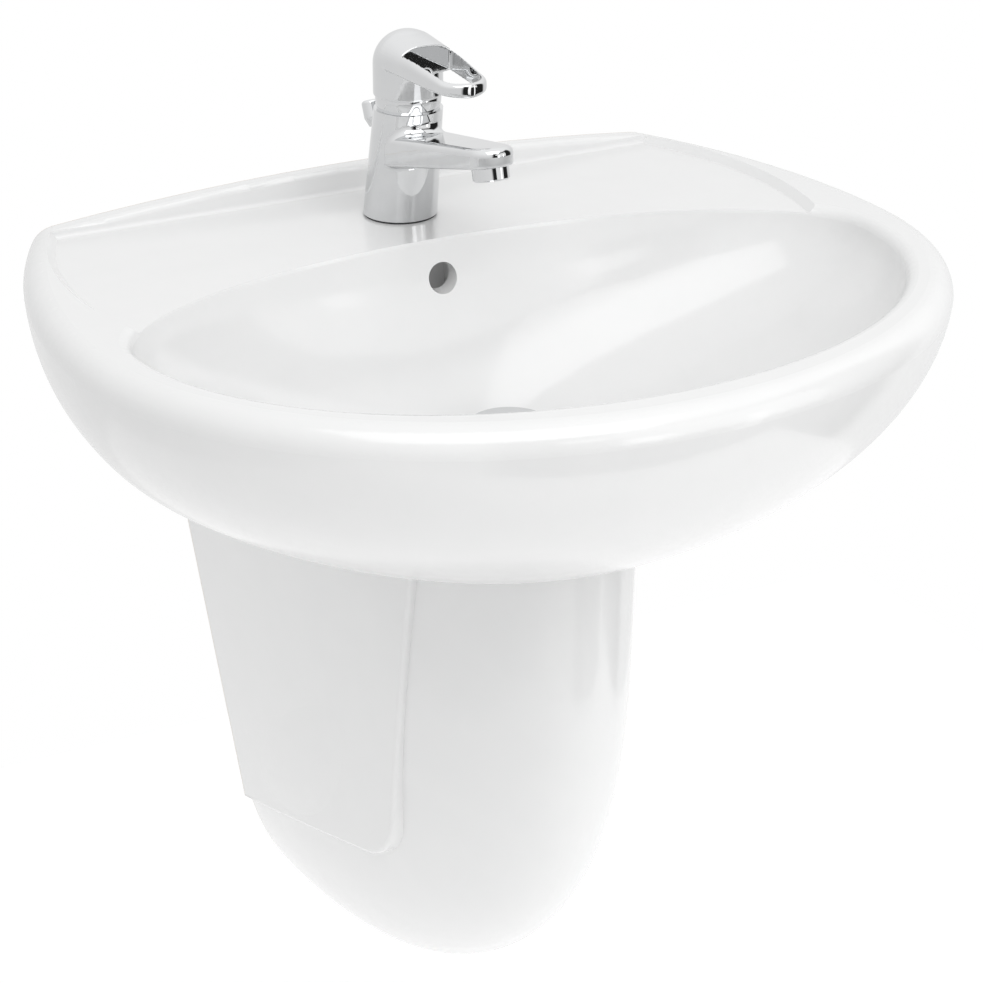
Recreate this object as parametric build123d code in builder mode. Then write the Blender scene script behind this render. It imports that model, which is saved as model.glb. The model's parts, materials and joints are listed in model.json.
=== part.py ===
from build123d import *
from math import asin, cos, radians, sin, tan
import os

# Wall-hung washbasin with half pedestal, single-lever mixer, pop-up waste and bottle trap.
# Millimetres. The wall is the plane Y = 0, the front is -Y, and the origin lies on the wall
# midway between the two basin studs.

# Basin: outline at the rim and at the foot, and how one turns into the other
BASIN_WIDTH = 600.0
BASIN_DEPTH = 484.0
BASIN_HEIGHT = 185.0
BACK_WIDTH = 484.0
WIDEST_FROM_WALL = 228.0
FOOT_WIDTH = 148.0
FOOT_BACK_WIDTH = 144.0
FOOT_WIDEST_FROM_WALL = 60.0
FOOT_DEPTH = 255.0
BELLY_POWER = 2.2
BELLY_ROOT = 0.65
BELLY_LEVELS = (0.0, 0.2, 0.4, 0.6, 0.75, 0.88, 1.0)
RIM_Z = 85.0
RIM_RADIUS = 16.0
CHINA = 10.0
BACK_WALL = 14.0
DECK_THICK = 14.0

# Deck recess and the upstand along the wall
DECK_DROP = 5.0
DECK_BACK_WIDTH = 452.0
DECK_BULGE_WIDTH = 506.0
DECK_BULGE_FROM_WALL = 100.0
DECK_FRONT_WIDTH = 470.0
DECK_FRONT_FROM_WALL = 236.0
UPSTAND_THICK = 12.0
UPSTAND_RISE = 12.0
UPSTAND_WIDTH = 452.0
UPSTAND_EDGE = 4.0
UPSTAND_COVE = 3.0
DECK_SPREAD = 6.0

# Bowl
RIM_SIDE = 36.0
RIM_FRONT = 36.0
BOWL_WIDTH = BASIN_WIDTH - 2 * RIM_SIDE
BOWL_WIDEST_FROM_WALL = 245.0
BOWL_BACK_FROM_WALL = 131.0
BOWL_FRONT_FROM_WALL = BASIN_DEPTH - RIM_FRONT
BOWL_DEPTH = 120.0
BOWL_FLOOR_WIDTH = 92.0
BOWL_FLOOR_LENGTH = 80.0
BOWL_LEVELS = (0.0, 0.2, 0.4, 0.6, 0.78, 0.92, 1.0)
BOWL_EDGE = 8.0
OVERFLOW_DIA = 21.0
OVERFLOW_DROP = 32.0
DUCT_WIDTH = 28.0
DUCT_GAP = 13.0
DUCT_WALL = 8.0
DUCT_TOP_DROP = 17.0

# Openings under the basin
DRAIN_FROM_WALL = 230.0
DRAIN_DIA = 46.0
DRAIN_BOSS_DIA = 84.0
DRAIN_RECESS = 3.0
ACCESS_WIDTH = 112.0
ACCESS_DEPTH = 168.0

# Half pedestal
COLUMN_WIDTH = 220.0
COLUMN_DEPTH = 349.0
COLUMN_HEIGHT = 391.0
COLUMN_WALL = 11.0
TOE_LEVELS = (0.0, 0.25, 0.45, 0.62, 0.76, 0.87, 0.94, 0.98, 0.996)
TOE_START_ABOVE_FOOT = 5.0
TOE_DEPTH_POWER = 2.6
TOE_DEPTH_ROOT = 0.476
TOE_WIDTH_POWER = 5.0
TOE_WIDTH_ROOT = 0.625
COLUMN_ABOVE_FOOT = 32.0
BELLY_GAP = 1.0
WING_TOP_WIDTH = 298.0
WING_FOOT_WIDTH = 199.0
WING_FRONT_WIDTH = 164.0
WING_FRONT_FROM_WALL = 252.0
WING_LEAN = 35.0
WING_BELOW_FOOT = 285.0
WING_SLOPE = 52.0
WING_CORNER = 46.0
WING_EDGE = 3.0

# Wall fixings
STUD_SPACING = 280.0
STUD_DIA = 10.0
STUD_BOLT_DIA = 9.6
STUD_IN_WALL = 60.0
STUD_INSIDE = 32.0
SLEEVE_DIA = 13.4
SLEEVE_HEAD_DIA = 26.0
SLEEVE_HEAD = 3.0
STUD_WASHER = 2.0
STUD_WASHER_DIA = 22.0
STUD_NUT_ACROSS = 17.0
STUD_NUT = 8.0
SCREW_DIA = 6.0
SCREW_SHANK_DIA = 5.4
SCREW_IN_WALL = 45.0
SCREW_HEAD = 4.0
SCREW_HEAD_ACROSS = 10.0
SCREW_WASHER_DIA = 20.0
SCREW_WASHER = 3.0
LUG_BELOW_FOOT = 165.0
LUG_HEIGHT = 40.0
LUG_WIDTH = 26.0
LUG_THICK = 14.0
HOLE_CLEARANCE = 0.3
THREAD_GAP = 0.1

# Mixer body, heights above the deck
TAP_FROM_WALL = 72.0
TAP_HOLE_DIA = 35.0
TAP_BASE_DIA = 51.0
TAP_TOP_DIA = 46.8
TAP_TOP_FROM_WALL = 86.0
TAP_TOP_HEIGHT = 79.0
BASE_GASKET = 1.5
BASE_INSET = 1.0
SPOUT_FROM_WALL = 203.0
SPOUT_TIP_RADIUS = 15.0
SPOUT_ROOT_WIDTH = 43.0
SPOUT_ROOT_TOP = 62.0
SPOUT_ROOT_UNDER = 41.0
SPOUT_TIP_TOP = 87.0
SPOUT_TIP_UNDER = 73.8
SPOUT_TOP_EDGE = 5.0
SPOUT_UNDER_EDGE = 2.5
SPOUT_SADDLE = 6.0
WATERWAY_DIA = 6.6
WATERWAY_HEIGHT = 59.0
AERATOR_DIA = 24.4
AERATOR_THREAD_DIA = 22.0
AERATOR_SHOW = 8.5
AERATOR_GRIP = 6.0
AERATOR_BORE_DIA = 19.0
AERATOR_INSERT = 6.0
AERATOR_WASHER = 1.5
AERATOR_LIP = 1.0
AERATOR_HOLE_DIA = 1.8
AERATOR_HOLES = 4
INLET_SPACING = 17.0
INLET_BORE_DIA = 8.6
INLET_BACK = 4.0
INLET_DEPTH = 14.0

# Mixer cartridge
CARTRIDGE_DIA = 35.0
CARTRIDGE_CLEARANCE = 0.1
CARTRIDGE_HEIGHT = 24.0
CARTRIDGE_FLOOR = 3.0
NUT_GRIP = 5.0
NECK_DIA = 25.0
NECK_HEIGHT = 19.0
NUT_HEIGHT = 8.0
NUT_SLOT_WIDTH = 5.0
NUT_SLOT_DEPTH = 2.0
PIVOT_ABOVE_TOP = 7.5
COLLAR_RADIUS = 22.3
COLLAR_RISE = 10.0
SPINDLE_WIDTH = 8.0
SPINDLE_THICK = 7.0
SPINDLE_BALL = 6.0
SPINDLE_NECK_DIA = 4.0
SPINDLE_BALL_ROOM = 0.6
SPINDLE_PIN_DIA = 3.0
SPINDLE_PIN_INSET = 1.0
SPINDLE_REACH = 20.5
SPINDLE_TOP = 25.5
DISC_HOUSING_DIA = 31.0
FIXED_DISC = 4.2
MOVING_DISC = 4.5
MOVING_DISC_DIA = 16.0
DRIVER_DIA = 13.0
DRIVER_HEIGHT = 6.5
DISC_GAP = 0.1
PORT_DIA = 5.0
PORT_SPACING = 9.0
PORT_BACK = 3.5
MIX_SLOT = 3.0
ROTOR_DIA = 20.0
ROTOR_FLANGE = 2.4
ROTOR_BELOW_TOP = 5.0
ROTOR_FLANGE_DIA = 29.0
SLOT_LENGTH = 22.0
RUNNING_FIT = 0.08

# Lever
HOOD_DIA = 47.2
HOOD_CLEARANCE = 0.3
HOOD_BOTTOM = 2.0
HOOD_TOP = 132.4
HOOD_SHOULDER = 109.5
LOOP_TIP_FROM_WALL = 202.0
LOOP_TIP_RADIUS = 17.0
LOOP_UNDER = 108.0
LOOP_TIP_TOP = 122.0
LOOP_BAR = 7.5
LOOP_INSET = 0.2
LOOP_NOSE = 12.0
NOSE_FALL = 1.0
WINDOW_FROM_AXIS = 27.0
GRUB_DIA = 6.0
GRUB_LENGTH = 9.0
GRUB_HEIGHT = 108.0
SOCKET_BOSS = 17.0
SOCKET_ABOVE_PIVOT = 11.0
SOCKET_FIT = 0.1

# Mounting set under the deck
MOUNT_STUD_DIA = 8.0
MOUNT_STUD_LENGTH = 52.0
MOUNT_STUD_FORWARD = 13.0
MOUNT_STUD_GRIP = 15.0
HORSESHOE_DIA = 50.0
HORSESHOE_SLOT = 28.0
HORSESHOE_GASKET = 3.0
HORSESHOE_PLATE = 2.5
MOUNT_NUT_ACROSS = 13.0
MOUNT_NUT = 10.0

# Lift rod
ROD_DIA = 5.0
ROD_TILT = 24.0
ROD_BEHIND_AXIS = 14.0
ROD_CLEARANCE = 0.4
KNOB_HEIGHT = 60.0
KNOB_DIA = 13.0
KNOB_LENGTH = 18.0
KNOB_NECK_DIA = 8.0

# Waste
FLANGE_DIA = 63.0
FLANGE_THICK = 3.0
WASTE_TUBE_DIA = 40.0
WASTE_BORE_DIA = 34.0
SEAL_THICK = 2.0
SEAL_GAP = 0.5
FLANGE_CHAMFER = 1.0
FLANGE_MOUTH = 2.0
WASTE_TUBE_BELOW_FOOT = 22.0
WASTE_BODY_WALL = 4.0
TAIL_STOP = 2.0
TUBE_END_GAP = 1.0
WASTE_BODY_DIA = 44.0
WASTE_COLLAR_DIA = 66.0
WASTE_COLLAR = 6.0
BALL_BELOW_FOOT = 40.0
BALL_OFFSET = 29.0
BALL_DIA = 13.0
BALL_PORT_DIA = 22.0
PIVOT_NUT_DIA = 28.0
PIVOT_NUT_GRIP = 6.8
PIVOT_NUT_WALL = 3.4
PIVOT_NUT_END = 8.5
PIVOT_NUT_HOLE_DIA = 9.2
PIVOT_NUT_GAP = 0.15
PIVOT_SEAT_START = 9.0
PIVOT_SEAT = 4.4
BALL_ROOM = 0.5
BALL_LIP = 1.3
BALL_PROUD = 1.5
PIVOT_SWING = 22.0
PIVOT_OUTER_ARM = 58.0
PIVOT_INNER_ARM = 33.0
WASTE_BODY = 60.0
TAIL_GRIP = 12.0
TAIL_DIA = 32.0
TAIL_WALL = 1.6
TAIL_BELOW_FOOT = 105.0
PLUG_DIA = 60.0
PLUG_TRAVEL = 11.0
PLUG_CAP = 5.0
PLUG_BEVEL = 4.0
PLUG_RIM = 1.0
PLUG_VANE = 2.0
PLUG_VANE_LENGTH = 60.0
PLUG_VANE_GAP = 0.6
PLUG_STEM_DIA = 11.0
STRAP_WIDTH = 13.0
STRAP_THICK = 2.5
STRAP_BELOW_EYE = 12.0
STRAP_ABOVE_EYE = 30.0
STRAP_BLOCK = 16.0
STRAP_BLOCK_THICK = 10.0
EYE_WIDTH = 6.6
EYE_HEIGHT = 9.5
STRAP_FLOOR = 1.0
STRAP_SCREW_STAND = 1.0
STRAP_SCREW_DIA = 4.0

# Bottle trap, depths below the foot of the basin
TRAP_NUT_DIA = 48.0
TRAP_NUT_TOP = 84.0
TRAP_NUT = 20.0
TRAP_NUT_WALL = 4.0
TRAP_WASHER = 3.0
TRAP_SOCKET_DIA = 40.0
TRAP_SOCKET_TOP = 91.0
TRAP_LEDGE = 108.0
TRAP_HEAD_DIA = 62.0
TRAP_HEAD_BORE_DIA = 56.0
TRAP_SHOULDER = 150.0
TRAP_SHOULDER_THICK = 6.0
TRAP_SPIGOT_DIA = 64.0
TRAP_THREAD = 12.0
TRAP_CUP_DIA = 70.0
TRAP_CUP_BOTTOM = 250.0
TRAP_CUP_ROUND = 14.0
DIP_TUBE_DIA = 30.0
DIP_TUBE_END = 225.0
DIP_TUBE_LIP = 2.0
OUTLET_BELOW_FOOT = 128.0
OUTLET_SOCKET_END = 58.0
OUTLET_NUT_DIA = 46.0
OUTLET_NUT = 18.0
OUTLET_IN_WALL = 40.0
OUTLET_MARK = 1.5
OUTLET_MARK_DEPTH = 0.3
ROSETTE_DIA = 68.0
ROSETTE_THICK = 9.0
ROSETTE_RIM = 2.0
ROSETTE_NECK = 3.0
PIPE_GAP = 0.4

# Heights and places worked out from the sizes above
FOOT_Z = RIM_Z - BASIN_HEIGHT
DECK_Z = RIM_Z - DECK_DROP
DECK_UNDER_Z = DECK_Z - DECK_THICK
FLOOR_Z = RIM_Z - BOWL_DEPTH
TAP_Y = -TAP_FROM_WALL
CART_Y = -TAP_TOP_FROM_WALL
DRAIN_Y = -DRAIN_FROM_WALL
BODY_TOP_Z = DECK_Z + TAP_TOP_HEIGHT
PIVOT_Z = BODY_TOP_Z + PIVOT_ABOVE_TOP
CART_AXIS = Axis((0, CART_Y, 0), (0, 0, 1))

os.makedirs("parts", exist_ok=True)


def save(piece, label):
    """Name a finished piece and write it to its own file."""
    piece.part.label = label
    export_step(piece.part, f"parts/{label}.step")
    print(f"{label:24s} {piece.part.volume / 1000:9.2f} cm3")


def between(foot, rim, k):
    """Value at share k of the way from the foot of the basin to its rim."""
    return foot + (rim - foot) * k


def belly_share(level):
    """How much of the rim outline is left at a level, 0 at the rim and 1 at the foot."""
    return (1 - level**BELLY_POWER) ** BELLY_ROOT


def belly_outline(level, inset=0.0, back_inset=0.0):
    """Outline of the basin at one level: straight back, bowed sides, elliptical front."""
    k = belly_share(level)
    half = between(FOOT_WIDTH, BASIN_WIDTH, k) / 2 - inset
    back = between(FOOT_BACK_WIDTH, BACK_WIDTH, k) / 2 - inset
    widest = between(FOOT_WIDEST_FROM_WALL, WIDEST_FROM_WALL, k)
    front = between(FOOT_DEPTH, BASIN_DEPTH, k) - inset
    with BuildSketch(Plane.XY.offset(RIM_Z - BASIN_HEIGHT * level)) as outline:
        with BuildLine():
            Line((-back, -back_inset), (back, -back_inset))
            TangentArc((half, -widest), (back, -back_inset), tangent=(0, 1))
            EllipticalCenterArc((0, -widest), half, front - widest, 180, arc_size=180)
            TangentArc((-half, -widest), (-back, -back_inset), tangent=(0, 1))
        make_face()
    return outline.sketch


def bowl_outline(level, grow=0.0, drop=0.0):
    """Outline of the bowl at one level: two half ellipses that share their long axis."""
    k = 1 - level**2
    half = between(BOWL_FLOOR_WIDTH, BOWL_WIDTH, k) / 2 + grow
    centre = between(DRAIN_FROM_WALL, BOWL_WIDEST_FROM_WALL, k)
    back = between(BOWL_FLOOR_LENGTH / 2, BOWL_WIDEST_FROM_WALL - BOWL_BACK_FROM_WALL, k) + grow
    front = between(BOWL_FLOOR_LENGTH / 2, BOWL_FRONT_FROM_WALL - BOWL_WIDEST_FROM_WALL, k) + grow
    with BuildSketch(Plane.XY.offset(RIM_Z - BOWL_DEPTH * level - drop)) as outline:
        with BuildLine():
            EllipticalCenterArc((0, -centre), half, back, 0, arc_size=180)
            EllipticalCenterArc((0, -centre), half, front, 180, arc_size=180)
        make_face()
    return outline.sketch


def deck_outline(z, spread):
    """Outline of the sunk deck: straight along the wall, bowed sides that spread upwards."""
    back = (DECK_BACK_WIDTH / 2 + spread, -UPSTAND_THICK)
    bulge = (DECK_BULGE_WIDTH / 2 + spread, -DECK_BULGE_FROM_WALL)
    front = (DECK_FRONT_WIDTH / 2 + spread, -DECK_FRONT_FROM_WALL)
    with BuildSketch(Plane.XY.offset(z)) as outline:
        with BuildLine():
            Line((-back[0], back[1]), back)
            ThreePointArc(back, bulge, front)
            Line(front, (-front[0], front[1]))
            ThreePointArc((-front[0], front[1]), (-bulge[0], bulge[1]), (-back[0], back[1]))
        make_face()
    return outline.sketch


def bowl_form(grow):
    """The bowl's hollow, grown outwards and downwards by a wall, with a prolonged mouth."""
    with BuildPart() as form:
        loft([bowl_outline(level, grow, grow) for level in BOWL_LEVELS])
        mouth = form.faces().sort_by(Axis.Z)[-1]
        extrude(mouth, amount=UPSTAND_RISE + 2 * grow + CHINA)
    return form.part


def column_outline(share, wall=0.0, overrun=0.0):
    """Half ellipse of the half pedestal at a share of its height below its top."""
    half = COLUMN_WIDTH / 2 * (1 - share**TOE_WIDTH_POWER) ** TOE_WIDTH_ROOT - wall
    depth = COLUMN_DEPTH * (1 - share**TOE_DEPTH_POWER) ** TOE_DEPTH_ROOT - wall
    top = FOOT_Z + TOE_START_ABOVE_FOOT
    with BuildSketch(Plane.XY.offset(top - (COLUMN_HEIGHT + TOE_START_ABOVE_FOOT) * share)) as outline:
        with BuildLine():
            Line((-half, overrun), (half, overrun))
            EllipticalCenterArc((0, overrun), half, depth + overrun, 180, arc_size=180)
        make_face()
    return outline.sketch


def ring(plane, outer_dia, inner_dia, height):
    """A plain ring that stands on a plane."""
    with BuildPart() as piece:
        with BuildSketch(plane):
            Circle(outer_dia / 2)
            Circle(inner_dia / 2, mode=Mode.SUBTRACT)
        extrude(amount=height)
    return piece


# Basin: the closed outer form comes first, because the half pedestal is trimmed to it
with BuildPart() as belly:
    loft([belly_outline(level) for level in BELLY_LEVELS])

with BuildPart() as bowl_wall:
    add(bowl_form(CHINA))

with BuildPart() as duct:
    add(bowl_form(CHINA + DUCT_GAP + DUCT_WALL))
    with Locations((0, DRAIN_Y, RIM_Z - DUCT_TOP_DROP)):
        Box(DUCT_WIDTH + 2 * DUCT_WALL, DRAIN_FROM_WALL, BASIN_HEIGHT,
            align=(Align.CENTER, Align.MIN, Align.MAX), mode=Mode.INTERSECT)

with BuildPart() as duct_channel:
    add(bowl_form(CHINA + DUCT_GAP))
    add(bowl_wall.part, mode=Mode.SUBTRACT)
    with Locations((0, DRAIN_Y, RIM_Z - DUCT_TOP_DROP - DUCT_WALL)):
        Box(DUCT_WIDTH, DRAIN_FROM_WALL, BASIN_HEIGHT,
            align=(Align.CENTER, Align.MIN, Align.MAX), mode=Mode.INTERSECT)

with BuildPart() as hollow:
    top_level = (RIM_Z - DECK_UNDER_Z) / BASIN_HEIGHT
    low_level = 1 - CHINA / BASIN_HEIGHT
    levels = [top_level, *[v for v in BELLY_LEVELS if top_level < v < low_level], low_level]
    loft([belly_outline(level, CHINA, BACK_WALL) for level in levels])
    add(bowl_wall.part, mode=Mode.SUBTRACT)
    add(duct.part, mode=Mode.SUBTRACT)
    with BuildSketch(Plane.XY.offset(FOOT_Z)):
        with Locations((0, DRAIN_Y)):
            Circle(DRAIN_BOSS_DIA / 2)
    extrude(amount=FLOOR_Z - FOOT_Z, mode=Mode.SUBTRACT)

# The upstand crowns towards the middle of the wall side
with BuildPart() as upstand:
    with BuildSketch(Plane.XZ):
        with BuildLine():
            side = UPSTAND_WIDTH / 2
            low = DECK_Z - UPSTAND_COVE
            ThreePointArc((-side, RIM_Z), (0, RIM_Z + UPSTAND_RISE), (side, RIM_Z))
            Polyline((side, RIM_Z), (side, low), (-side, low), (-side, RIM_Z))
        make_face()
    extrude(amount=UPSTAND_THICK)
    crown = upstand.edges().filter_by(lambda e: e.center().Y < -UPSTAND_THICK / 2 and e.center().Z > RIM_Z)
    fillet(crown, UPSTAND_EDGE)

with BuildPart() as deck_recess:
    loft([deck_outline(DECK_Z, 0.0), deck_outline(RIM_Z, DECK_SPREAD)], ruled=True)
    extrude(deck_recess.faces().sort_by(Axis.Z)[-1], amount=UPSTAND_RISE)

with BuildPart() as basin:
    add(belly.part)
    rim_edges = basin.faces().sort_by(Axis.Z)[-1].edges().sort_by(Axis.Y)[:-1]
    fillet(rim_edges, RIM_RADIUS)
    add(bowl_form(0.0), mode=Mode.SUBTRACT)
    top_face = basin.faces().sort_by(Axis.Z)[-1]
    fillet(top_face.inner_wires().edges(), BOWL_EDGE)
    add(upstand.part)
    # The deck behind the bowl lies a step lower than the rim
    add(deck_recess.part, mode=Mode.SUBTRACT)
    deck_edges = basin.edges().filter_by(lambda e: abs(e.center().Z - DECK_Z) < 0.3)
    fillet(deck_edges.filter_by(lambda e: e.center().Y > -UPSTAND_THICK - 1), UPSTAND_COVE)
    # Underside: hollow between belly and bowl, open behind the waste
    add(hollow.part, mode=Mode.SUBTRACT)
    with Locations((0, -BACK_WALL, FOOT_Z)):
        Box(ACCESS_WIDTH, ACCESS_DEPTH - BACK_WALL, 4 * CHINA,
            align=(Align.CENTER, Align.MAX, Align.CENTER), mode=Mode.SUBTRACT)
    add(duct_channel.part, mode=Mode.SUBTRACT)
    # Tap hole, overflow, drain with its seat, and the two wall holes
    with Locations((0, TAP_Y, DECK_Z)):
        Cylinder(TAP_HOLE_DIA / 2, 4 * DECK_THICK, mode=Mode.SUBTRACT)
    with BuildSketch(Plane((0, -BOWL_WIDEST_FROM_WALL, RIM_Z - OVERFLOW_DROP), z_dir=(0, 1, 0))):
        Circle(OVERFLOW_DIA / 2)
    extrude(amount=BOWL_WIDEST_FROM_WALL - BOWL_BACK_FROM_WALL + CHINA + DUCT_GAP / 2, mode=Mode.SUBTRACT)
    with Locations((0, DRAIN_Y, FLOOR_Z)):
        Cylinder(DRAIN_DIA / 2, 4 * (FLOOR_Z - FOOT_Z), mode=Mode.SUBTRACT)
        Cylinder(FLANGE_DIA / 2 + HOLE_CLEARANCE, 2 * DRAIN_RECESS, mode=Mode.SUBTRACT)
    with BuildSketch(Plane.XZ):
        with GridLocations(STUD_SPACING, 1, 2, 1):
            Circle(SLEEVE_DIA / 2 + HOLE_CLEARANCE)
    extrude(amount=2 * BACK_WALL, mode=Mode.SUBTRACT)
save(basin, "basin")


def column_form(wall, levels):
    """The column, or with a wall its hollow, prolonged upwards into the basin."""
    with BuildPart() as form:
        loft([column_outline(share, wall, wall) for share in levels])
        extrude(form.faces().sort_by(Axis.Z)[-1], amount=COLUMN_ABOVE_FOOT - TOE_START_ABOVE_FOOT)
    return form.part


def wing_form(inset):
    """Both wings as one block that tapers to the front, cut to a wing's outline from the side."""
    top = FOOT_Z + COLUMN_ABOVE_FOOT
    low = FOOT_Z - WING_BELOW_FOOT
    front = WING_FRONT_FROM_WALL - inset
    tip = WING_FRONT_WIDTH / 2 - inset
    with BuildPart() as form:
        for height, width in ((top, WING_TOP_WIDTH), (low, WING_FOOT_WIDTH)):
            half = width / 2 - inset
            with BuildSketch(Plane.XY.offset(height)):
                with BuildLine():
                    Polyline((-half, inset), (half, inset), (tip, -front), (-tip, -front), close=True)
                make_face()
        loft(ruled=True)
        with BuildSketch(Plane.YZ) as side:
            with BuildLine():
                Polyline((inset, low + inset), (inset, top), (-front, top),
                         (WING_LEAN - front, low + inset + WING_SLOPE), close=True)
            make_face()
            fillet(side.vertices().sort_by(Axis.X)[1], WING_CORNER - inset)
        extrude(amount=BASIN_WIDTH, both=True, mode=Mode.INTERSECT)
    return form


# Half pedestal: a half-elliptical column with a rounded toe and two raised wings that flare to
# the wall, hollow and open towards the wall and the basin
with BuildPart() as wings:
    add(wing_form(0.0).part)
    sides = wings.faces().filter_by(lambda face: abs(face.normal_at().X) > 0.7)
    outer_edges = sides.edges().filter_by(lambda e: e.center().Y < -1 and e.center().Z < FOOT_Z)
    fillet(outer_edges, WING_EDGE)

with BuildPart() as pedestal_core:
    add(column_form(COLUMN_WALL, TOE_LEVELS[:-1]))
    add(wing_form(COLUMN_WALL).part)

LUG_X = COLUMN_WIDTH / 2 - COLUMN_WALL - LUG_WIDTH / 2
LUG_Z = FOOT_Z - LUG_BELOW_FOOT
WING_SHARE = (WING_BELOW_FOOT - LUG_BELOW_FOOT - LUG_HEIGHT / 2) / (WING_BELOW_FOOT + COLUMN_ABOVE_FOOT)
LUG_END_X = between(WING_FOOT_WIDTH, WING_TOP_WIDTH, WING_SHARE) / 2 - COLUMN_WALL / 2
LUG_START_X = LUG_X - LUG_WIDTH / 2

with BuildPart() as half_pedestal:
    add(column_form(0.0, TOE_LEVELS))
    add(wings.part)
    add(pedestal_core.part, mode=Mode.SUBTRACT)
    # Two lugs beside the wall take the fixing screws
    with BuildSketch(Plane.XZ):
        with Locations((LUG_START_X, LUG_Z)):
            Rectangle(LUG_END_X - LUG_START_X, LUG_HEIGHT, align=(Align.MIN, Align.CENTER))
        mirror(about=Plane.YZ)
    extrude(amount=LUG_THICK)
    with BuildSketch(Plane.XZ):
        with Locations((-LUG_X, LUG_Z), (LUG_X, LUG_Z)):
            Circle(SCREW_DIA / 2 + HOLE_CLEARANCE)
    extrude(amount=LUG_THICK, mode=Mode.SUBTRACT)
    # The top edge follows the belly of the basin
    add(belly.part.moved(Location((0, 0, -BELLY_GAP))), mode=Mode.SUBTRACT)
save(half_pedestal, "half_pedestal")


def wall_pair(x, z, start, length, *circles, across=None):
    """Two equal pieces side by side that point into the room, with a round or hexagonal outline."""
    with BuildPart() as pair:
        with BuildSketch(Plane.XZ.offset(start)):
            with Locations((-x, z), (x, z)):
                if across:
                    RegularPolygon(across / 2, 6, major_radius=False)
                else:
                    Circle(circles[0] / 2)
                for inner in circles[0 if across else 1:]:
                    Circle(inner / 2, mode=Mode.SUBTRACT)
        extrude(amount=length)
    return pair


# Wall fixings of the basin, from the wall into the hollow behind the bowl
STUD_X = STUD_SPACING / 2
SLEEVE_END = BACK_WALL + SLEEVE_HEAD
NUT_START = SLEEVE_END + STUD_WASHER
THREADED = STUD_BOLT_DIA + 2 * THREAD_GAP

# Each stud has a thicker screw end in the wall and a bolt end in the basin
with BuildPart() as wall_studs:
    add(wall_pair(STUD_X, 0, -STUD_IN_WALL, STUD_IN_WALL, STUD_DIA).part)
    add(wall_pair(STUD_X, 0, 0, STUD_INSIDE, STUD_BOLT_DIA).part)
save(wall_studs, "wall_studs")

with BuildPart() as stud_sleeves:
    add(wall_pair(STUD_X, 0, 0, BACK_WALL, SLEEVE_DIA, THREADED).part)
    add(wall_pair(STUD_X, 0, BACK_WALL, SLEEVE_HEAD, SLEEVE_HEAD_DIA, THREADED).part)
save(stud_sleeves, "stud_sleeves")
save(wall_pair(STUD_X, 0, SLEEVE_END, STUD_WASHER, STUD_WASHER_DIA, THREADED), "stud_washers")
save(wall_pair(STUD_X, 0, NUT_START, STUD_NUT, THREADED, across=STUD_NUT_ACROSS), "stud_nuts")

with BuildPart() as pedestal_screws:
    head_start = LUG_THICK + SCREW_WASHER
    add(wall_pair(LUG_X, LUG_Z, -SCREW_IN_WALL, SCREW_IN_WALL, SCREW_DIA).part)
    add(wall_pair(LUG_X, LUG_Z, 0, head_start, SCREW_SHANK_DIA).part)
    add(wall_pair(LUG_X, LUG_Z, head_start, SCREW_HEAD, across=SCREW_HEAD_ACROSS).part)
save(pedestal_screws, "pedestal_screws")
save(wall_pair(LUG_X, LUG_Z, LUG_THICK, SCREW_WASHER, SCREW_WASHER_DIA, SCREW_DIA + 2 * THREAD_GAP),
     "pedestal_washers")


def turned(origin, up, outline):
    """A turned piece: a closed outline of (radius, height) corners spun about an axis."""
    with BuildPart() as piece:
        with BuildSketch(Plane(origin, x_dir=(1, 0, 0), z_dir=Vector(1, 0, 0).cross(Vector(up)))):
            with BuildLine():
                Polyline(*outline, close=True)
            make_face()
        revolve(axis=Axis(origin, up))
    return piece


def pin(start, end, dia):
    """A plain round pin between two points."""
    along = Vector(end) - Vector(start)
    with BuildPart() as piece:
        with BuildSketch(Plane(start, z_dir=along)):
            Circle(dia / 2)
        extrude(amount=along.length)
    return piece


# Lift rod line: it leans back above the deck and runs down to the pivot rod in front
ROD_UP = Vector(0, sin(radians(ROD_TILT)), cos(radians(ROD_TILT)))
ROD_AT_DECK = Vector(0, TAP_Y + ROD_BEHIND_AXIS, DECK_Z)


def rod_point(z):
    """Point of the lift rod's axis at a height."""
    return ROD_AT_DECK + ROD_UP * ((z - DECK_Z) / ROD_UP.Z)


UP = (0, 0, 1)
TO_WALL = (0, 1, 0)
BASE_Z = DECK_Z + BASE_GASKET
POCKET_Z = BODY_TOP_Z - NUT_GRIP - CARTRIDGE_HEIGHT
SPOUT_Y = -SPOUT_FROM_WALL
SPOUT_END_Y = SPOUT_Y - SPOUT_TIP_RADIUS
UNDER_SLOPE = (SPOUT_TIP_UNDER - SPOUT_ROOT_UNDER) / (CART_Y - SPOUT_TOP_EDGE - SPOUT_END_Y)
AERATOR_UP = Vector(0, UNDER_SLOPE, 1).normalized()
AERATOR_SEAT = Vector(0, SPOUT_Y, DECK_Z + SPOUT_TIP_UNDER - UNDER_SLOPE * SPOUT_TIP_RADIUS)
AERATOR_DEPTH = AERATOR_GRIP + AERATOR_WASHER + DISC_GAP
WATERWAY_START = Vector(0, CART_Y - CARTRIDGE_DIA / 2 + NUT_GRIP, DECK_Z + WATERWAY_HEIGHT)
WATERWAY_END = AERATOR_SEAT + AERATOR_UP * AERATOR_DEPTH
INLETS = [(x, TAP_Y + INLET_BACK) for x in (-INLET_SPACING / 2, INLET_SPACING / 2)]
PORTS = [(x, CART_Y + PORT_BACK) for x in (-PORT_SPACING / 2, PORT_SPACING / 2)]
STUD_Y = TAP_Y - MOUNT_STUD_FORWARD

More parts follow.
